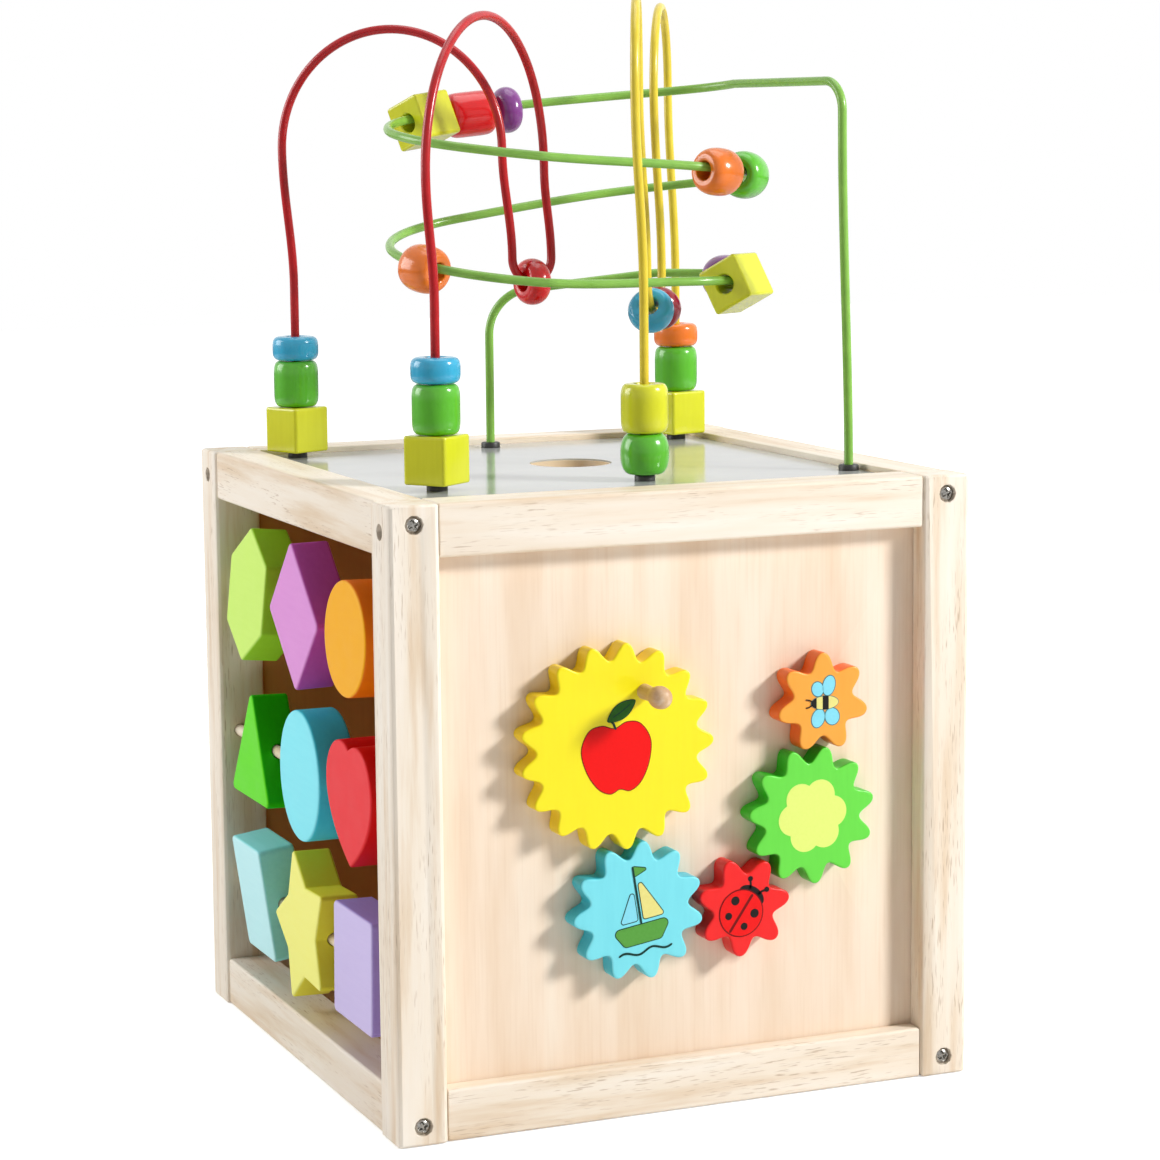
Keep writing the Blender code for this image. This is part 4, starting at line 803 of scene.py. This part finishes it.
# Shape blocks
def heart_curve(wide, low, high, lobe=0.656, end=16.0, pull=0.4):
    """Two circular lobes that meet in a notch, over flanks that are quadratic curves to the tip.

    A lobe's radius is its share of the half width, and its arc runs from the notch to the
    end angle below level. Each flank leaves the arc along its tangent.
    """
    radius, stop = wide * lobe, -math.radians(end)
    middle = np.array((wide - radius, high - radius))
    arc = np.linspace(math.pi - math.acos(middle[0] / radius), stop, 60)
    side = middle + radius * np.stack([np.cos(arc), np.sin(arc)], -1)
    tip = np.array((0.0, -low))
    bulge = side[-1] + pull * np.linalg.norm(side[-1] - tip) * np.array((math.sin(stop), -math.cos(stop)))
    t = np.linspace(0, 1, 60)[1:, None]
    flank = (1 - t) ** 2 * side[-1] + 2 * t * (1 - t) * bulge + t ** 2 * tip
    half = np.vstack([side, flank])
    return evenly(np.vstack([half, half[-2:0:-1] * (-1, 1)])[::-1], 160)


def block_curves():
    """Name, row, place along Y, tilt in degrees, paint and (y, z) outline of each block."""
    hexagon = circle(0.0349, 6, TAU / 4)
    lean = math.radians(17.3) + np.arange(10) * TAU / 10
    reach = np.tile((0.0412, 0.0242), 5)
    star = np.stack([reach * np.sin(lean), reach * np.cos(lean)], -1)[::-1]
    box = np.array([(1, 1), (-1, 1), (-1, -1), (1, -1)], float)
    diamond = circle(1.0, 4) * (0.0390, 0.0379)
    triangle = [(0.0326, -0.0275), (0.0, 0.0305), (-0.0326, -0.0275)]
    return (("hexagon", 0, 0.0766, 5.7, "lime", rounded(hexagon, 0.003)),
            ("diamond", 0, -0.0022, -1.0, "violet", rounded(diamond, 0.003)),
            ("circle", 0, -0.0818, 1.7, "amber", circle(1.0, 160) * (0.0300, 0.0280)),
            ("triangle", 1, 0.0750, 1.6, "leaf", rounded(triangle, 0.003)),
            ("oval", 1, -0.0070, 0.0, "sky", circle(1.0, 160) * (0.0313, 0.0330)),
            ("heart", 1, -0.0831, -0.3, "cherry", heart_curve(0.0331, 0.0305, 0.0296)),
            ("oblong", 2, 0.0760, -8.0, "aqua", rounded(box * (0.0234, 0.0302), 0.003)),
            ("star", 2, -0.0030, 1.2, "lemon", rounded(star, 0.002)),
            ("square", 2, -0.0844, 0.8, "lilac", rounded(box * (0.0279, 0.0277), 0.003)))


def drilled(obj, start, end, radius):
    """Cut a round hole through a finished piece, exactly, and leave it one plain mesh."""
    start, end = np.asarray(start, float), np.asarray(end, float)
    span = np.linalg.norm(end - start)
    points, quads, tris = shell(turned([(radius, 0), (radius, span)], start, end - start, 32), False)
    mesh = bpy.data.meshes.new("drill")
    mesh.from_pydata(points.tolist(), [], quads.tolist() + tris.tolist())
    drill = bpy.data.objects.new("drill", mesh)
    bpy.context.scene.collection.objects.link(drill)
    cut = obj.modifiers.new("bore", "BOOLEAN")
    cut.operation = "DIFFERENCE"
    cut.solver = "EXACT"
    cut.object = drill
    bpy.context.view_layer.update()
    graph = bpy.context.evaluated_depsgraph_get()
    made = bpy.data.meshes.new_from_object(obj.evaluated_get(graph))
    obj.modifiers.clear()
    obj.data = made
    bpy.data.objects.remove(drill)
    made.polygons.foreach_set("use_smooth", [True] * len(made.polygons))
    made.set_sharp_from_angle(angle=math.radians(32))


def make_blocks():
    """Nine blocks with rounded edges, each bored along Y for its rod."""
    paints = {"lime": ("D2F676", "C6EE66"), "violet": ("E298DC", "D688D0"), "amber": ("FCB408", "F8A804"),
              "leaf": ("66E40C", "56D806"), "sky": ("8CF0FC", "78E4F4"), "cherry": ("F03038", "E6242C"),
              "aqua": ("CAFAFE", "B8F0F6"), "lemon": ("FEFC8A", "FCF676"), "lilac": ("D4C6F2", "C8B8EA")}
    reach = 0.06
    for name, row, place, tilt, paint, curve in block_curves():
        centre = np.array((ROD_X, place, ROWS[row]))
        rings = slab(curve, -BLOCK_THICK / 2, BLOCK_THICK / 2, BLOCK_EDGE)
        lean = math.radians(tilt)
        facing = (math.cos(lean), 0.0, -math.sin(lean))
        grid = across_x(rings, centre, lean)
        # The plate gives each block's sides and rounded edges their painted shade.
        mat = enamel("toy_enamel_" + paint, *paints[paint], roughness=0.45, coat=0.0, grain="y",
                     specular=0.18, plate=(facing, float(centre @ facing), BLOCK_THICK / 2, BLOCK_EDGE))
        obj = piece("block_%s_wood" % name, [(grid, mat, False)], "block_" + name, ("block_" + name,),
                    32)
        drilled(obj, centre - (0, reach, 0), centre + (0, reach, 0), ROD_BORE_R)


# Wires
def straight(start, end, count, heading):
    """Points on a line with the heading that the tube's frame keeps."""
    t = np.linspace(0, 1, count)[:, None]
    return np.asarray(start) * (1 - t) + np.asarray(end) * t, np.full(count, heading)


def bowed(start, end, count, turn):
    """A leg that shifts sideways as a half cosine wave, while its heading turns evenly."""
    start, end = np.asarray(start, float), np.asarray(end, float)
    t = np.linspace(0, 1, count)
    ease = (1 - np.cos(math.pi * t)) / 2
    points = start + (end - start) * np.column_stack([ease, ease, t])
    return points, np.interp(t, (0, 1), turn)


def bend(centre, out, along, radius, sweep, count, heading):
    """An arc in the plane of two unit vectors: centre plus out by cosine and along by sine."""
    a = np.linspace(*sweep, count)[:, None]
    return (np.asarray(centre) + np.asarray(out) * radius * np.cos(a)
            + np.asarray(along) * radius * np.sin(a), np.full(count, heading))


def joined(parts):
    """One route from stretches that share their end points."""
    points = np.vstack([parts[0][0]] + [p[1:] for p, _ in parts[1:]])
    headings = np.concatenate([parts[0][1]] + [h[1:] for _, h in parts[1:]])
    return points, headings


def arch_route(feet, low_at, low_turn, low_r, low_z, peaks, sway):
    """Foot, half-circle arch, low half turn, half-circle arch, foot."""
    along = np.array((math.cos(low_turn), math.sin(low_turn), 0.0))
    low = np.array((*low_at, low_z + low_r))
    legs = (low - along * low_r, low + along * low_r)
    start, end = np.array((*feet[0], WIRE_END)), np.array((*feet[1], WIRE_END))
    parts = [straight(start, (*feet[0], LEG_STRAIGHT), 8, 0.0)]
    heads = []
    for a, b, peak, shift in ((start, legs[0], peaks[0], sway[0]), (legs[1], end, peaks[1], sway[1])):
        span = np.array((b[0] - a[0], b[1] - a[1], 0.0))
        r = np.linalg.norm(span) / 2
        side = span / (2 * r)
        middle = np.array((a[0] + span[0] / 2 + shift, a[1] + span[1] / 2, peak - r))
        heads.append((middle, side, r, math.atan2(side[1], side[0])))
    (mid0, side0, r0, head0), (mid1, side1, r1, head1) = heads
    parts[0][1][:] = head0
    head1 += TAU * round((low_turn - head1) / TAU)
    low_head = low_turn + TAU * round((head0 - low_turn) / TAU)
    parts.append(bowed(parts[0][0][-1], mid0 - side0 * r0, 16, (head0, head0)))
    parts.append(bend(mid0, -side0, UP, r0, (0, math.pi), 56, head0))
    parts.append(bowed(parts[-1][0][-1], legs[0], 20, (head0, low_head)))
    parts.append(bend(low, -along, UP, low_r, (0, -math.pi), 32, low_head))
    parts.append(bowed(legs[1], mid1 - side1 * r1, 20, (low_head, head1)))
    parts.append(bend(mid1, -side1, UP, r1, (0, math.pi), 56, head1))
    parts.append(bowed(parts[-1][0][-1], (*feet[1], LEG_STRAIGHT), 16, (head1, head1)))
    parts.append(straight(parts[-1][0][-1], end, 8, head1))
    return joined(parts)


def coil_touch():
    """Angle on the right-hand end circle where the lead-in touches it."""
    dx = GREEN_FRONT[0] - COIL_CENTRE[0] - COIL_HALF
    dy = GREEN_FRONT[1] - COIL_CENTRE[1]
    return math.atan2(dy, dx) + math.acos(COIL_R / math.hypot(dx, dy))


def coil_starts():
    """Distance along the coil where each run starts: turns and straights in turn."""
    turn, line = math.pi * COIL_R, 2 * COIL_HALF
    lengths = [COIL_R * (math.pi / 2 - coil_touch()) + line] + [turn, line] * 3
    lengths.append(COIL_R * (COIL_EXIT + math.pi / 2))
    return np.r_[0, np.cumsum(lengths)]


def coil_height(s):
    """Height and slope at a distance along the coil: cubics through the runs' start heights."""
    starts = coil_starts()
    heights = COIL_TOP - np.r_[0, np.cumsum(COIL_DROPS[:-1])]
    slopes = np.diff(heights) / np.diff(starts)
    ends = np.r_[slopes[0], (slopes[:-1] + slopes[1:]) / 2, slopes[-1]]
    s = np.asarray(s, float)
    k = np.clip(np.searchsorted(starts, s, side="right") - 1, 0, 7)
    span, rise = np.diff(starts)[k], np.diff(heights)[k]
    t = (s - starts[k]) / span
    bend0, bend1 = ends[k] * span - rise, rise - ends[k + 1] * span
    height = heights[k] + rise * t + t * (1 - t) * (bend0 * (1 - t) + bend1 * t)
    slope = rise + (1 - 2 * t) * (bend0 * (1 - t) + bend1 * t) + t * (1 - t) * (bend1 - bend0)
    return height, slope / span


def coil_turn(run, angle):
    """Points and slopes on an end circle of the coil, by angle."""
    side = -1 if run % 4 == 1 else 1
    zero = coil_touch() if run == 0 else -side * math.pi / 2
    angle = np.asarray(angle, float)
    height, slope = coil_height(coil_starts()[run] + COIL_R * (angle - zero))
    x = COIL_CENTRE[0] + side * COIL_HALF + COIL_R * np.cos(angle)
    return np.stack([x, COIL_CENTRE[1] + COIL_R * np.sin(angle), height], -1), slope


def coil_line(run, x):
    """Points and slopes on a straight of the coil, by distance right of its middle."""
    rear = run % 4 == 0
    start = coil_starts()[1] - 2 * COIL_HALF if run == 0 else coil_starts()[run]
    x = np.asarray(x, float)
    height, slope = coil_height(start + (COIL_HALF - x if rear else COIL_HALF + x))
    y = COIL_CENTRE[1] + (COIL_R if rear else -COIL_R)
    return np.stack([COIL_CENTRE[0] + x, np.full_like(x, y), height], -1), slope


def green_route():
    """Front leg, lead-in, two and a half flattened turns, run out and rear leg."""
    a0 = coil_touch()
    touch = coil_turn(0, a0)[0]
    foot = np.array((*GREEN_FRONT, WIRE_END))
    top = np.array((foot[0] + GREEN_LEAN, foot[1], COIL_TOP - GREEN_BEND))
    ahead = np.array((touch[0] - top[0], touch[1] - top[1], 0.0))
    ahead /= np.linalg.norm(ahead)
    head = math.atan2(ahead[1], ahead[0])
    parts = [bowed(foot, top, 24, (head, head))]
    parts.append(bend(top + ahead * GREEN_BEND, -ahead, UP, GREEN_BEND, (0, math.pi / 2), 14, head))
    parts.append(straight(parts[-1][0][-1], touch, 10, head))
    angle = np.linspace(a0, math.pi / 2, 30)
    parts.append((coil_turn(0, angle)[0], angle + math.pi / 2))
    for k in (0, 4):
        x = np.linspace(-COIL_HALF, COIL_HALF, 16)
        parts.append((coil_line(k, x[::-1])[0], np.full(16, math.pi + TAU * (k // 4))))
        angle = np.linspace(math.pi / 2, 3 * math.pi / 2, 56)
        parts.append((coil_turn(k + 1, angle)[0], angle + math.pi / 2 + TAU * (k // 4)))
        parts.append((coil_line(k + 2, x)[0], np.full(16, TAU * (1 + k // 4))))
        angle = np.linspace(-math.pi / 2, COIL_EXIT if k else math.pi / 2, 56)
        parts.append((coil_turn(k + 3, angle)[0], angle + math.pi / 2 + TAU * (1 + k // 4)))
    leave = parts[-1][0][-1]
    heading = np.array((-math.sin(COIL_EXIT), math.cos(COIL_EXIT), 0.0))
    foot = leave + heading * (GREEN_REAR_Y - leave[1]) / heading[1]
    turn = foot - heading * GREEN_FOOT_BEND
    turn[2] -= COIL_DROPS[-1]
    head = parts[-1][1][-1]
    parts.append(straight(leave, turn, 12, head))
    centre = turn - UP * GREEN_FOOT_BEND
    parts.append(bend(centre, UP, heading, GREEN_FOOT_BEND, (0, math.pi / 2), 20, head))
    parts.append(straight(parts[-1][0][-1], (foot[0], foot[1], WIRE_END), 10, head))
    return joined(parts)


def swept(route, radius, around=18):
    """Rings of a tube: at each point a circle in the plane square to the route.

    The circle's first axis is level and square to the heading, and its second is square to
    that and to the route.
    """
    points, heading = route
    along = np.gradient(points, axis=0)
    along /= np.linalg.norm(along, axis=1)[:, None]
    level = np.stack([-np.sin(heading), np.cos(heading), heading * 0], -1)
    rise = np.cross(along, level)
    rise /= np.linalg.norm(rise, axis=1)[:, None]
    level = np.cross(rise, along)
    a = np.linspace(0, TAU, around, endpoint=False)
    return (points[:, None] + radius * (np.cos(a)[None, :, None] * level[:, None]
                                        + np.sin(a)[None, :, None] * rise[:, None]))


def wire_routes():
    """Centre lines of the three wires."""
    return {
        "red": arch_route((RED_REAR, RED_FRONT), RED_LOW, RED_LOW_TURN, RED_LOW_R, RED_LOW_Z,
                          RED_PEAKS, RED_SWAY),
        "yellow": arch_route((YELLOW_FRONT, YELLOW_REAR), YELLOW_LOW, YELLOW_LOW_TURN, YELLOW_LOW_R,
                             YELLOW_LOW_Z, YELLOW_PEAKS, YELLOW_SWAY),
        "green": green_route()}


def make_wires():
    """Three vinyl-dipped wires, and a black collar round each foot."""
    coats = {"red": ("C8101A", "A0060E"), "yellow": ("ECD644", "D8BC2C"), "green": ("92C656", "74AC40")}
    nylon = moulded_nylon("black_nylon", "161514")
    inner, high, edge = WIRE_R + 0.00025, COLLAR_HIGH, 0.0008
    profile = [(inner, 0.0001), (inner, high), (COLLAR_R - edge, high),
               (COLLAR_R - edge * 0.3, high - edge * 0.3), (COLLAR_R, high - edge), (COLLAR_R, 0.0001)]
    collars = []
    for key, route in wire_routes().items():
        mat = vinyl("vinyl_" + key, *coats[key])
        piece("wire_%s_dipped" % key, [(swept(route, WIRE_R), mat, False)], "maze", ("wire_" + key,))
        for foot in (route[0][0], route[0][-1]):
            collars.append((turned(profile, (foot[0], foot[1], BOARD_TOP), (0, 0, 1), 36), nylon, True))
    piece("foot_collars", collars, "maze", smooth=35)


def make_board():
    """Gloss board round its finger hole, with bare birch on the edges and the hole's wall."""
    gloss, core = gloss_lacquer("grey_gloss_melamine"), plywood("birch_core", 7, "x", "F0D6AE", "DBB585")
    n = 240
    edge, ease = INNER - FIT, 0.0006
    box = np.array([(edge, edge), (-edge, edge), (-edge, -edge), (edge, -edge)]) - FINGER_AT
    square = evenly(box, n)
    angles = np.arctan2(square[:, 1], square[:, 0])
    hole = np.stack([np.cos(angles), np.sin(angles)], -1) * FINGER_R

    def level(curve, z):
        return np.column_stack([curve + FINGER_AT, np.full(n, z)])

    lip = hole * (1 + 0.0012 / FINGER_R)
    inset = square * (1 - ease / edge)
    mid = BOARD_TOP - 0.0008
    face = [level(inset, mid), level(inset, BOARD_TOP), level(lip, BOARD_TOP), level(lip, mid)]
    wood = [level(hole, BOARD_LOW), level(square, BOARD_LOW), level(square, mid - 0.00005),
            level(hole, mid - 0.00005)]
    shells = [(np.stack(face), gloss, True), (np.stack(wood), core, True)]
    piece("top_board_faced", shells, "maze", ("top_board",), 30)


# Beads
def bead_profile(length, radius, end, power):
    """Closed (radius, height) loop: straight bore, small lip, flat rim and a bulged side."""
    t = np.cos(np.linspace(0, math.pi, 25))
    side = end + (radius - end) * np.sqrt(np.clip(1 - np.abs(t) ** power, 0, 1))
    lip = 0.0006
    bore = [(BEAD_BORE, -length / 2 + lip), (BEAD_BORE, length / 2 - lip),
            (BEAD_BORE + lip * 0.3, length / 2 - lip * 0.3), (BEAD_BORE + lip, length / 2)]
    low = [(BEAD_BORE + lip, -length / 2), (BEAD_BORE + lip * 0.3, -length / 2 + lip * 0.3)]
    return bore + list(zip(side, t * length / 2)) + low


def round_bead(name, kind, centre, axis, mat, body, slot):
    """A turned bead: barrel, flat-sided disc, saucer, round or ring."""
    spec = {"barrel": (BARREL_LONG, BEAD_R * 0.97, BEAD_R * 0.72, 6),
            "disc": (DISC_LONG, BEAD_R, BEAD_R * 0.70, 4), "saucer": (DISC_LONG, BEAD_R, BEAD_R * 0.52, 2),
            "round": (ROUND_LONG, BEAD_R, BEAD_R * 0.62, 2.4),
            "ring": (RING_LONG, BEAD_R, BEAD_R * 0.66, 2)}[kind]
    rings = turned(bead_profile(*spec), centre, axis, 44)
    piece(name + "_turned", [(rings, mat, True)], body, (name,), 45)


def cube_bead(name, centre, axis, twist, mat, body):
    """A sawn cube bead: rounded square rings round a bore, with rounded edges top and bottom."""
    h = CUBE_BEAD / 2
    curve = evenly(rounded([(h, h), (-h, h), (-h, -h), (h, -h)], 0.0016), 128)
    bore, lip = radial(curve, BEAD_BORE), radial(curve, BEAD_BORE + 0.0006)
    rings = slab(curve, -h, h, 0.0011) + [(lip, h), (bore, h - 0.0006), (bore, 0.0006 - h), (lip, -h)]
    made = np.stack([np.column_stack([c, np.full(len(c), z)]) for c, z in rings])
    sine, cosine = math.sin(twist), math.cos(twist)
    turn = np.array([[cosine, sine, 0], [-sine, cosine, 0], [0, 0, 1]])
    made = made @ turn @ track(axis) + np.asarray(centre)
    piece(name + "_sawn", [(made, mat, True)], body, (name,), 30)


def track(axis):
    """Rows of the frame whose Z is the axis and whose Y leans as far up as it can."""
    turn = Vector(axis).normalized().to_track_quat("Z", "Y").to_matrix()
    return np.array(turn).T


def make_beads():
    """Every bead on its own body, where its node is."""
    colours = {"yellow": ("DADC22", "C4C60C"), "green": ("5CBC28", "429C12"), "blue": ("32ACD4", "168ABA"),
               "orange": ("F07A1C", "DA5C08"), "red": ("DC0C12", "B80408"), "crimson": ("8E0F1F", "6A0612"),
               "purple": ("82388C", "64226E")}
    mats = {key: bead_gloss("gloss_enamel_" + key, *pair) for key, pair in colours.items()}
    green = ("barrel", "green", 0)
    stacks = {"rear_left": (RED_REAR, (("cube", "yellow", 25), green, ("disc", "blue", 0))),
              "front_left": (RED_FRONT, (("cube", "yellow", 38), green, ("disc", "blue", 0))),
              "front_right": (YELLOW_FRONT, (("round", "green", 0), ("barrel", "yellow", 0))),
              "rear_right": (YELLOW_REAR, (("cube", "yellow", 15), green, ("disc", "orange", 0)))}
    tall = {"cube": CUBE_BEAD, "barrel": BARREL_LONG, "disc": DISC_LONG, "round": ROUND_LONG}
    for where, (foot, beads) in stacks.items():
        z = STACK_FLOOR
        for kind, paint, twist in beads:
            name, centre = "bead_%s_%s" % (where, kind), (*foot, z + tall[kind] / 2)
            if kind == "cube":
                cube_bead(name, centre, (0, 0, 1), math.radians(twist), mats[paint], name)
            else:
                round_bead(name, kind, centre, (0, 0, 1), mats[paint], name, "bead_" + paint)
            z += tall[kind] + STACK_GAP
    red = (RED_LOW, RED_LOW_TURN, RED_LOW_R, RED_LOW_Z, 0.0)
    yellow = (YELLOW_LOW, YELLOW_LOW_TURN, YELLOW_LOW_R, YELLOW_LOW_Z)
    for name, paint, ring in (("bead_low_red", "red", red),
                              ("bead_low_blue", "blue", (*yellow, -YELLOW_RING_LEAN)),
                              ("bead_low_crimson", "crimson", (*yellow, YELLOW_RING_LEAN))):
        round_bead(name, "ring", *low_ring(*ring), mats[paint], name, "bead_" + paint)
    for name, kind, paint, run, place in (
            ("cube_left", "cube", "yellow", 1, 113.5), ("barrel", "barrel", "red", 0, -0.0340),
            ("disc", "saucer", "purple", 0, -0.0130), ("orange_right", "round", "orange", 3, -71.0),
            ("green", "round", "green", 3, -46.0), ("orange_left", "round", "orange", 5, 205.5),
            ("cube_right", "cube", "yellow", 7, -56.0), ("purple", "round", "purple", 7, 14.0)):
        centre, tangent = coil_place(run, place)
        name = "bead_coil_" + name
        if kind == "cube":
            twist = math.radians(62 if run == 7 else 20)
            cube_bead(name, centre, tangent, twist, mats[paint], name)
        else:
            round_bead(name, kind, centre, tangent, mats[paint], name, "bead_" + paint)


def low_ring(low_at, low_turn, low_r, low_z, lean):
    """Centre and axis of a ring that hangs on a low half turn, leaning along it."""
    along = np.array((math.cos(low_turn), math.sin(low_turn), 0.0))
    out = along * math.sin(lean) - UP * math.cos(lean)
    reach = RING_LONG / 2
    clear = BEAD_BORE * math.cos(math.pi / 14) - WIRE_R / math.cos(math.asin(reach / low_r)) - FIT
    centre = np.array((*low_at, low_z + low_r)) + out * (math.sqrt(low_r ** 2 - reach ** 2) + clear)
    return centre, along * math.cos(lean) + UP * math.sin(lean)


def coil_place(run, place):
    """Centre and axis of a bead that hangs on the coil: by degrees on a turn, metres on a straight."""
    if run % 2 == 0:
        point, slope = coil_line(run, place)
        tangent = np.array((-1.0, 0.0, float(slope)))
        tangent /= np.linalg.norm(tangent)
        across = np.cross((0.0, -1.0, 0.0), tangent)
        return point - across * math.copysign(HANG, across[2]), tangent
    angle = math.radians(place)
    point, slope = coil_turn(run, angle)
    tangent = np.array((-math.sin(angle), math.cos(angle), float(slope)))
    tangent /= np.linalg.norm(tangent)
    inward = np.array((-math.cos(angle), -math.sin(angle), 0.0))
    return point + inward * CUBE_BEAD ** 2 / (16 * COIL_R) - np.cross(tangent, inward) * HANG, tangent


make_frame()
make_rods()
make_screws()
make_bolts()
make_gears()
make_pictures()
make_knob()
make_blocks()
make_wires()
make_board()
make_beads()


# Studio
FLOOR_HALF, FLOOR_DROP = 6.0, 0.0003
LIFT_NEAR, LIFT_FAR, LIFT_FROM, LIFT_TO = 0.50, 1.0, 0.25, 0.90
WORLD_LIGHT, LAMP_AIM = 0.15, (0.0, 0.0, 0.2)
LAMPS = (("key", (1.9, -1.6, 1.5), 0.5, 76.0), ("left", (-1.6, 0.8, 0.9), 1.1, 21.0),
         ("top", (0.2, 0.2, 2.4), 1.6, 16.0))


def make_studio():
    """White floor and surround, a key from the front right, a fill from the left and a top light.

    The floor's lift to plain white, for the camera alone, grows with distance from the cube. At
    these values it reaches white right up to the cube, so the cube's shadow doesn't show.
    """
    mat = bpy.data.materials.new("studio_white")
    mat.use_nodes = True
    tree = mat.node_tree
    tree.nodes.clear()
    rays = add(tree, "ShaderNodeLightPath")
    place = add(tree, "ShaderNodeNewGeometry")
    away = add(tree, VECTOR, {0: place.outputs["Position"]}, operation="LENGTH")
    grow = add(tree, RANGE, {"Value": away.outputs["Value"]},
               {"From Min": LIFT_FROM, "From Max": LIFT_TO, "To Min": LIFT_NEAR, "To Max": LIFT_FAR})
    lift = add(tree, MATH, {0: rays.outputs["Is Camera Ray"], 1: grow.outputs["Result"]},
               operation="MULTIPLY")
    paper = add(tree, "ShaderNodeBsdfDiffuse", values={"Color": linear("F2F2F2")})
    glow = add(tree, "ShaderNodeEmission", {"Strength": lift.outputs[0]})
    both = add(tree, "ShaderNodeAddShader", {0: paper.outputs[0], 1: glow.outputs[0]})
    add(tree, "ShaderNodeOutputMaterial", {"Surface": both.outputs[0]})
    mesh = bpy.data.meshes.new("floor")
    s = FLOOR_HALF
    mesh.from_pydata([(-s, -s, 0), (s, -s, 0), (s, s, 0), (-s, s, 0)], [], [(0, 1, 2, 3)])
    mesh.materials.append(mat)
    floor = bpy.data.objects.new("floor", mesh)
    floor.location = (0, 0, -FLOOR_DROP)
    bpy.context.scene.collection.objects.link(floor)
    world = bpy.data.worlds.new("studio")
    bpy.context.scene.world = world
    world.use_nodes = True
    tree = world.node_tree
    tree.nodes.clear()
    rays = add(tree, "ShaderNodeLightPath")
    seen = add(tree, MATH, {0: rays.outputs["Is Camera Ray"], 1: rays.outputs["Is Glossy Ray"]},
               operation="MAXIMUM")
    seen = add(tree, MATH, {0: seen.outputs[0], 1: rays.outputs["Is Transmission Ray"]},
               operation="MAXIMUM")
    soft = add(tree, "ShaderNodeBackground", values={"Color": linear("FFFFFF"), "Strength": WORLD_LIGHT})
    white = add(tree, "ShaderNodeBackground", values={"Color": linear("FFFFFF"), "Strength": 1.0})
    pick = add(tree, "ShaderNodeMixShader", {0: seen.outputs[0], 1: soft.outputs[0], 2: white.outputs[0]})
    add(tree, "ShaderNodeOutputWorld", {"Surface": pick.outputs[0]})
    for name, at, size, power in LAMPS:
        data = bpy.data.lights.new(name, "AREA")
        data.size = size
        data.energy = power
        lamp = bpy.data.objects.new(name, data)
        lamp.location = at
        aim = Vector(LAMP_AIM) - Vector(at)
        lamp.rotation_euler = aim.to_track_quat("-Z", "Y").to_euler()
        bpy.context.scene.collection.objects.link(lamp)
    bpy.context.scene.view_settings.view_transform = "Standard"


def make_camera():
    """The photograph's view: place, heading, dip and roll, with the focal length in pixels."""
    data = bpy.data.cameras.new("camera")
    data.sensor_width = SENSOR
    data.lens = FOCAL_PIXELS * SENSOR / FRAME_PIXELS
    cam = bpy.data.objects.new("camera", data)
    cam.location = CAMERA_AT
    look = Vector((math.sin(CAMERA_YAW) * math.cos(CAMERA_PITCH),
                   math.cos(CAMERA_YAW) * math.cos(CAMERA_PITCH), math.sin(CAMERA_PITCH)))
    turn = look.to_track_quat("-Z", "Y").to_matrix() @ Matrix.Rotation(CAMERA_ROLL, 3, "Z")
    cam.rotation_euler = turn.to_euler()
    bpy.context.scene.collection.objects.link(cam)
    bpy.context.scene.camera = cam


make_studio()
make_camera()
